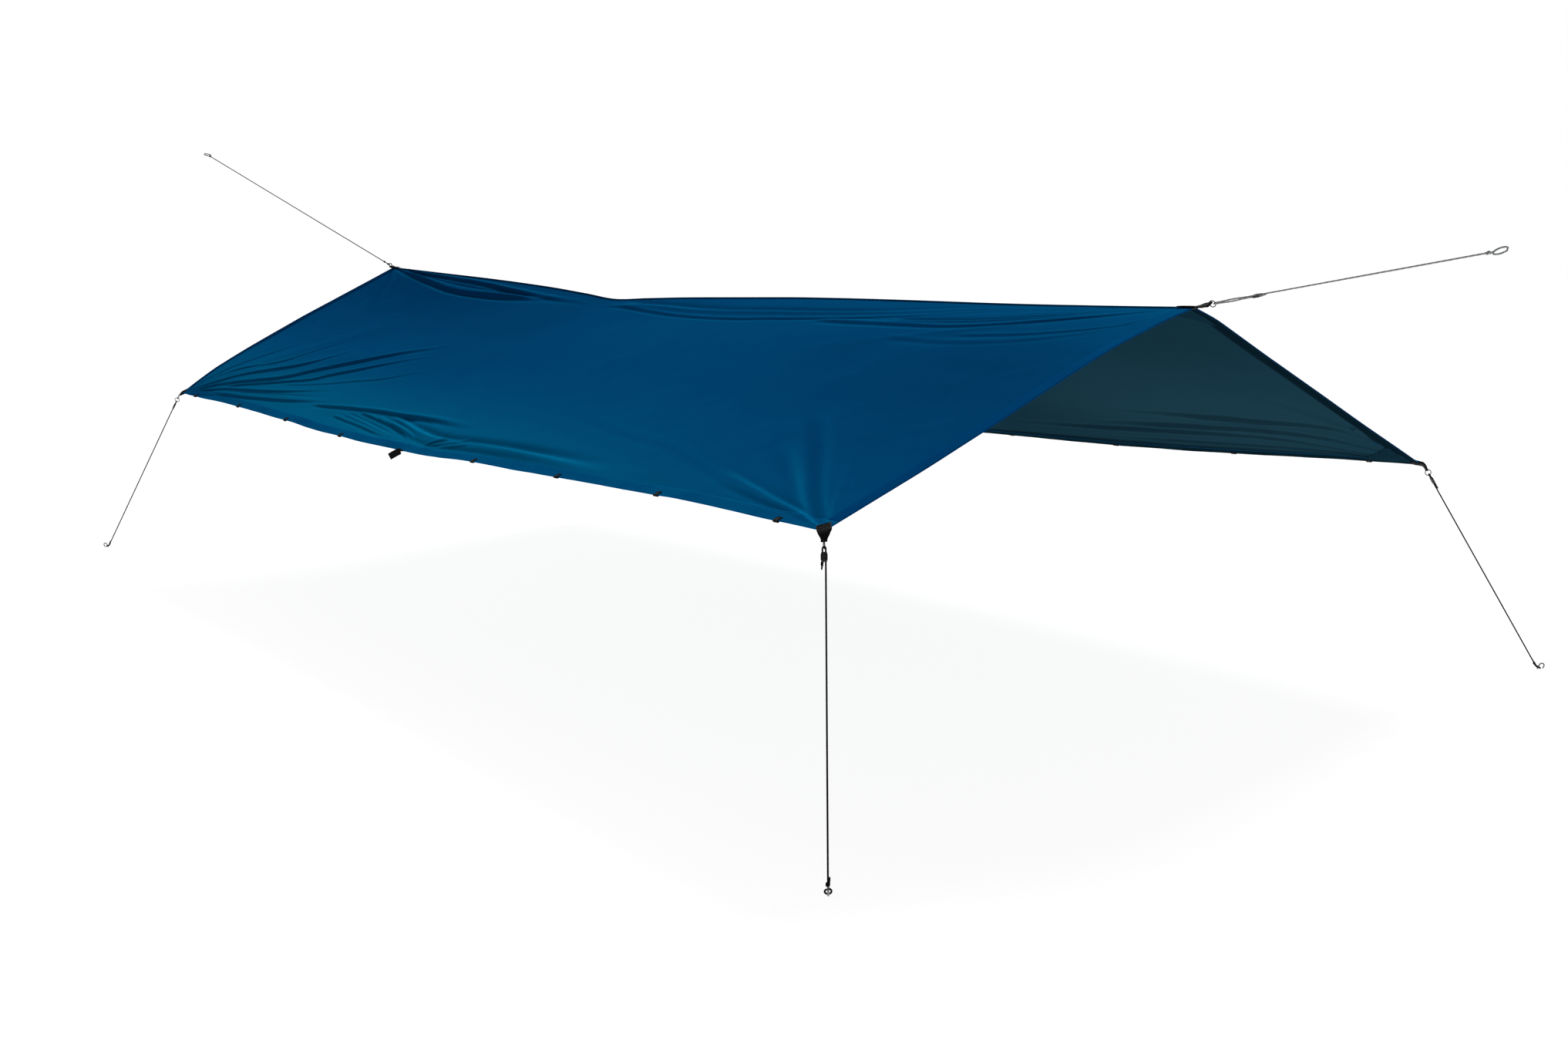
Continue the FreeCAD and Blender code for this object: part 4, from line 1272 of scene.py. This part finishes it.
def corner_line(panel, end):
    """Line from a hem corner to its peg, with the directions of the cloth corner."""
    corner = panel.hem_ends[end]
    aim = np.array([PEG_OFFSET[0] * (2 * end - 1), PEG_OFFSET[1] * panel.outward, 0.0])
    normal = np.cross(base_surface(panel, (.02, .98)[end], 1.0) - corner,
                      base_surface(panel, float(end), .94) - corner)
    normal = unit(normal * np.sign(normal[2]))
    out = unit(np.array([corner[0] + aim[0], corner[1] + aim[1], 0.0]) - corner)
    level = unit(aim)
    inward = unit(-level - UP * ((-level @ normal) / normal[2]))
    across = unit(np.cross(inward, normal))
    lead = corner + normal * 3.2 * MM - inward * 5.5 * MM
    line = Line(lead + out * 24 * MM, across - out * (across @ out), out)
    line.corner, line.normal, line.inward, line.cloth_across = corner, normal, inward, across
    line.lead = lead
    line.length = (line.origin[2] - 9 * MM) / -out[2]
    line.peg_axis = unit(-level * math.cos(PEG_LEAN) - UP * math.sin(PEG_LEAN))
    line.eye = (line.origin + out * line.length + line.across * STRAND
                + level * PEG_EYE_RADIUS - UP * PEG_EYE_RADIUS * .35)
    return line


def corner_webbing(name, line, body):
    """Tape that lies on the cloth corner, runs out round the ring and back under the corner."""
    builder = Builder()
    corner, normal, inward = line.corner, line.normal, line.inward
    up = unit(normal - line.out * (normal @ line.out))
    path = offsets(corner, normal, inward, ((3.3, 31), (3.3, 20), (3.4, 8), (3.2, -1)))
    path += offsets(line.lead, up, line.out, ((1.4, 9),))
    path += ring_wrap(line, up, 2.1 * MM, .2 * MM)
    path += offsets(line.lead, up, line.out, ((-1.6, 9),))
    path += offsets(corner, normal, inward, ((-2.6, 2), (-3.0, 10), (-3.0, 29)))
    points = curve_through(path, 5)
    distance = np.linalg.norm(points - line.origin, axis=1)
    width = np.interp(distance, np.array([0, 4, 14, 26, 60]) * MM,
                      np.array([13, 14, 25, 34, 36]) * MM)
    share = np.minimum(1, distance / (22 * MM))[:, None]
    builder.tape(points, line.across * (1 - share) + line.cloth_across * share, width, 1.35 * MM)
    for sign, height in ((1, 4.15 * MM), (-1, 3.85 * MM)):
        builder.stitch_box(
            corner + normal * height * sign, line.cloth_across, inward, normal * sign,
            ends=(8 * MM, 27 * MM), end_size=(29 * MM, 3.2 * MM), end_rows=9,
            middle=17.5 * MM, half=13 * MM, side_size=(3.0 * MM, 16 * MM), side_rows=12,
            radius=HEAVY_THREAD, diagonal=(12 * MM, 10 * MM, 25 * MM))
    # the tack that closes the loop just above the ring
    builder.tack(line.lead + up * 2.2 * MM + line.out * 12.5 * MM, line.across, line.out,
                 (19 * MM, 3 * MM), 8, up, HEAVY_THREAD)
    register(builder.make(name + "_corner_webbing", WEBBING), name + "_gusset", body)


def guy_cord(guy, line):
    """Standing strand: bight over the ring, straight run, knot and tied eye at the peg."""
    length = line.length
    run = line.at(STRAND, 0, np.linspace(18.5 * MM, length - 6 * MM, 60))
    end = line.at(STRAND, 0, length)
    toward = end - line.eye
    toward = unit(toward - line.peg_axis * (toward @ line.peg_axis))
    sideways = np.cross(line.peg_axis, toward)
    angles = np.linspace(0, TURN, 33)[:, None]
    eye = line.eye + (toward * np.cos(angles) + sideways * np.sin(angles)) * PEG_EYE_RADIUS
    eye = eye + line.peg_axis * (np.linspace(-1, 1, 33)[:, None] * 1.3 * MM)
    tail = line.through((STRAND + 2.6 * MM, 1 * MM, length - 10 * MM),
                        (STRAND + 3.6 * MM, 1.6 * MM, length - 17 * MM),
                        (STRAND + 4.4 * MM, 2.6 * MM, length - 24 * MM))
    rope(guy + "_line", [
        (np.concatenate([bight(line), run]), CORD_RADIUS),
        (eye, CORD_RADIUS),
        (np.array([run[-1], end, eye[0] - toward * .5 * MM]), CORD_RADIUS),
        (knot(line, length - 9 * MM, STRAND, 1.8 * MM, phase=.4), CORD_RADIUS * .93),
        (tail, CORD_RADIUS * .95)], "black_cord", guy + "_cord", guy)


def corner_fittings(panel, end):
    name = panel.name + ("_left", "_right")[end]
    guy = "guy_" + name
    line = corner_line(panel, end)
    corner_webbing(name, line, panel.body)
    guy_cord(guy, line)
    tension_end(guy, guy, line, RUNNER_HEIGHT, "black_cord", count=14, bow=no_bow,
                knot_shift=.7 * MM, knot_size=1.3 * MM, knot_share=.82)
    finish_cad(guy + "_ring", RING_METAL)
    finish_cad(guy + "_peg", PEG_METAL)


# ---------------------------------------------------------------------------
# ridge ends
# ---------------------------------------------------------------------------
def ridge_end(end, out, hole, width, thick, turn=0.0):
    """Webbing tab at a ridge end, its hole that far out, twisted by turn degrees; gives its line."""
    long_tab = hole > 25 * MM
    origin = RIDGE_ENDS[end]
    flat = unit(np.array([0, 1.0, 0]) - out * out[1])
    side = np.cross(flat, out)
    side = side if side[2] > 0 else -side
    turn = math.radians(turn)
    across = unit(flat * math.cos(turn) + side * math.sin(turn))
    raised = origin + UP * 1.4 * MM
    line = Line(raised + out * hole, across, out)
    # direction of the ridge itself just inside the end
    inside = base_surface(NEAR, ((.004, .0205), (.996, .9795))[end], np.zeros(2))
    inward = unit(inside[1] - inside[0])
    up = unit(np.cross(line.out, line.across))
    up = up if up[2] > 0 else -up

    builder = Builder()
    path = offsets(origin, UP, inward, ((2.9, 50), (3.0, 30), (3.1, 10), (3.0, 1)))
    if long_tab:
        path += [raised + up * 1.0 * MM + out * hole * share for share in (.35, .75)]
    path += ring_wrap(line, up, 1.9 * MM, .1 * MM)
    if long_tab:
        path += [raised - up * depth * MM + out * hole * share
                 for depth, share in ((1.0, .75), (1.2, .35))]
    path += offsets(origin, UP, inward, ((-3.4, 4), (-4.0, 20), (-4.0, 46)))
    points = curve_through(path, 6)
    f = np.clip(((points - origin) @ out) / (hole * .55), 0, 1)[:, None]
    builder.tape(points, flat * (1 - f) + across * f, width, thick)
    end_size = (19.5 * MM, 3.2 * MM)
    for sign, height in ((1, 3.8 * MM), (-1, 4.8 * MM)):
        builder.stitch_box(
            origin + UP * height * sign, flat, inward, UP * sign,
            ends=(9 * MM, 42 * MM), end_size=end_size, end_rows=9,
            middle=25.5 * MM, half=8.8 * MM, side_size=(2.6 * MM, 30 * MM), side_rows=20,
            radius=HEAVY_THREAD)
    if long_tab:
        for sign in (1, -1):
            builder.tack(raised + up * 1.85 * MM * sign + out * hole * .62, across, out,
                         end_size, 9, up * sign, HEAVY_THREAD)
    name = ("left", "right")[end]
    register(builder.make("ridge_end_webbing_" + name, WEBBING),
             "ridge_tab_" + name, "ridge")
    return line


def left_ridge_line(line):
    """Cord looped through the left tab, with knots and a tied eye at its far end."""
    radius = 9 * MM
    angles = np.linspace(-math.pi * .96, math.pi * .96, 41)
    loop = line.at(0, radius * np.sin(angles), radius - radius * np.cos(angles))
    run = line.at(0, 0, np.linspace(17.5 * MM, 1.580, 90))
    rope("ridge_left_line_cord",
         [(loop, CORD_RADIUS), (run, CORD_RADIUS), (tied_eye(line, 0, 1.596), CORD_RADIUS)],
         "black_cord", "ridge_left_cord", "ridge_left_line")
    parts = []
    for z, phase in ((27 * MM, .3), (56 * MM, 1.9), (1.572, 1.1)):
        parts.append((knot(line, z, 0, 1.9 * MM, phase), CORD_RADIUS * .95))
        parts.append((knot(line, z + 1.5 * MM, 0, 1.6 * MM, phase + 2.0), CORD_RADIUS * .9))
    parts.append((line.through((3 * MM, 1 * MM, 56 * MM), (4.4 * MM, 2 * MM, 63 * MM),
                               (5 * MM, 2.6 * MM, 72 * MM)), CORD_RADIUS))
    rope("ridge_left_line_knots", parts, "black_cord", "ridge_left_knots", "ridge_left_line")


def ridge_bow(z):
    """How far the doubled strands bow apart between the ring and the runner."""
    return 3.4 * MM * np.sin(math.pi * np.clip((z - 20 * MM) / (100 * MM), 0, 1)) ** 2


def right_ridge_line(line):
    """Grey cord doubled from the ring to its runner, then single to a tied eye."""
    heights = np.concatenate([np.linspace(18.5 * MM, .130, 24), np.linspace(.140, .7615, 44)])
    body = np.concatenate([bight(line), line.at(STRAND + ridge_bow(heights), 0, heights)])
    rope("ridge_right_line_cord", [
        (body, CORD_RADIUS), (tied_eye(line, STRAND, .776), CORD_RADIUS),
        (knot(line, .748, STRAND, 1.9 * MM, phase=.7), CORD_RADIUS * .95)],
        "grey_cord", "ridge_right_cord", "ridge_right_line")
    tension_end("ridge_right", "ridge_right_line", line, 144 * MM, "grey_cord", count=24,
                bow=ridge_bow, knot_shift=.6 * MM, knot_size=1.12 * MM, knot_share=.9)
    finish_cad("ridge_right_ring", RING_METAL)


# ---------------------------------------------------------------------------
# reinforcement patches on the underside
# ---------------------------------------------------------------------------
# (along, down, length, drop, name, CAD piece); the patch in mid hem is four-sided, the others
# taper almost to a point
PATCHES = [
    (0, 1, .150, .150, "_corner_reinforcement_left", "_left_corner_patch"),
    (1, 1, .150, .150, "_corner_reinforcement_right", "_right_corner_patch"),
    (.5, 1, .115, .085, "_mid_reinforcement", "_mid_patch"),
    (0, 0, .135, .135, "_ridge_reinforcement_left", None),
    (1, 0, .135, .135, "_ridge_reinforcement_right", "_ridge_patches")]


def patch(panel, corner_along, corner_down, length, drop, name, node):
    x, y = np.meshgrid(np.linspace(0, 1, 23), np.linspace(0, 1, 23), indexing="ij")
    at_hem = corner_down == 1
    inset = HEM_WIDTH * .55
    if corner_along == .5:
        taper = 1.0
        along = .5 + (x - .5) * length / LENGTH
    else:
        taper = 1 - .93 * x
        along = corner_along + (1 - 2 * corner_along) * (inset + x * length) / LENGTH
    start = inset if at_hem else .013
    down = corner_down + (-1 if at_hem else 1) * (start + y * taper * drop) / panel.width
    points, normals = cloth(panel, along, down)
    item = slab(panel.name + name, points, normals, .0007, [PATCH],
                np.stack([x * length, y * drop * taper], -1), lift=-.0019)
    register(item, node and panel.name + node, panel.body if at_hem else None)
    if not at_hem:
        blend_side(item)


# ---------------------------------------------------------------------------
# floor, light, camera
# ---------------------------------------------------------------------------
def make_floor():
    work = bmesh.new()
    bmesh.ops.create_grid(work, x_segments=2, y_segments=2, size=60.0)
    mesh = bpy.data.meshes.new("floor")
    work.to_mesh(mesh)
    work.free()
    mesh.materials.append(floor_material())
    link("floor", mesh)


def make_world():
    """A soft dome with two bright windows; the camera sees an even white backdrop."""
    world = bpy.data.worlds.new("studio")
    bpy.context.scene.world = world
    world.use_nodes = True
    nodes = Nodes(world.node_tree)
    output = nodes.node("OutputWorld")
    position = nodes.value("TexCoord", output="Generated")

    def window(direction, inner, outer, power):
        """Bright patch round a direction, fading between two angles in degrees."""
        cosine = nodes.value("VectorMath", {0: position, 1: tuple(unit(direction))},
                             output="Value", operation="DOT_PRODUCT")
        return nodes.value("MapRange", {
            "Value": cosine, "From Min": math.cos(math.radians(outer)),
            "From Max": math.cos(math.radians(inner)), "To Min": 0.0, "To Max": power},
            interpolation_type="SMOOTHSTEP")

    power = .07 + window((-.60, .35, .55), inner=12, outer=50, power=.75)
    power = power + window((.2, -.9, .15), inner=10, outer=50, power=.45)
    dome = nodes.value("Background", {"Color": WHITE, "Strength": power})
    backdrop = nodes.value("Background", {"Color": WHITE, "Strength": 1.0})
    seen = nodes.value("LightPath", output="Is Camera Ray")
    nodes.put(output, {0: nodes.value("MixShader", {0: seen, 1: dome, 2: backdrop})})


def make_key_light():
    light = bpy.data.lights.new("key", "SUN")
    light.energy = 1.45
    light.angle = math.radians(18)
    direction = Vector((.42, -.56, -.69))
    link("key", light).rotation_euler = direction.to_track_quat("-Z", "Y").to_euler()


def make_camera():
    data = bpy.data.cameras.new("camera")
    camera = link("camera", data)
    data.lens = 38.048
    data.sensor_width = 36.0
    data.sensor_fit = "HORIZONTAL"
    data.shift_x, data.shift_y = -.00068, .00984
    data.clip_end = 200
    heading, tilt, roll = (math.radians(angle) for angle in (-49.945, 10.356, -.134))
    ahead = np.array([math.sin(heading), math.cos(heading), 0])
    right = np.array([math.cos(heading), -math.sin(heading), 0])
    view = ahead * math.cos(tilt) - UP * math.sin(tilt)
    below = -(UP * math.cos(tilt) + ahead * math.sin(tilt))
    rolled_right = right * math.cos(roll) + below * math.sin(roll)
    rolled_below = -right * math.sin(roll) + below * math.cos(roll)
    columns = [rolled_right, -rolled_below, -view, place(4.894, -3.623, 1.314)]
    camera.matrix_world = Matrix(np.column_stack(columns).tolist() + [[0, 0, 0, 1]])
    bpy.context.scene.camera = camera


# ---------------------------------------------------------------------------
# build
# ---------------------------------------------------------------------------
for panel in PANELS:
    canopy(panel)
for panel in PANELS:
    hems(panel)
ridge_seam()
for panel in PANELS:
    hem_loops(panel)
    pull_out(panel)
for panel in PANELS:
    for end in (0, 1):
        corner_fittings(panel, end)
left_line = ridge_end(0, unit([-.924, -.165, .345]), 14 * MM, width=22 * MM, thick=1.4 * MM)
right_line = ridge_end(1, unit([.984, 0, .178]), 46 * MM, width=24 * MM, thick=2.3 * MM, turn=27.0)
left_ridge_line(left_line)
right_ridge_line(right_line)
for panel in PANELS:
    for row in PATCHES:
        patch(panel, *row)
make_floor()
make_world()
make_key_light()
make_camera()
bpy.context.scene.view_settings.view_transform = "Standard"
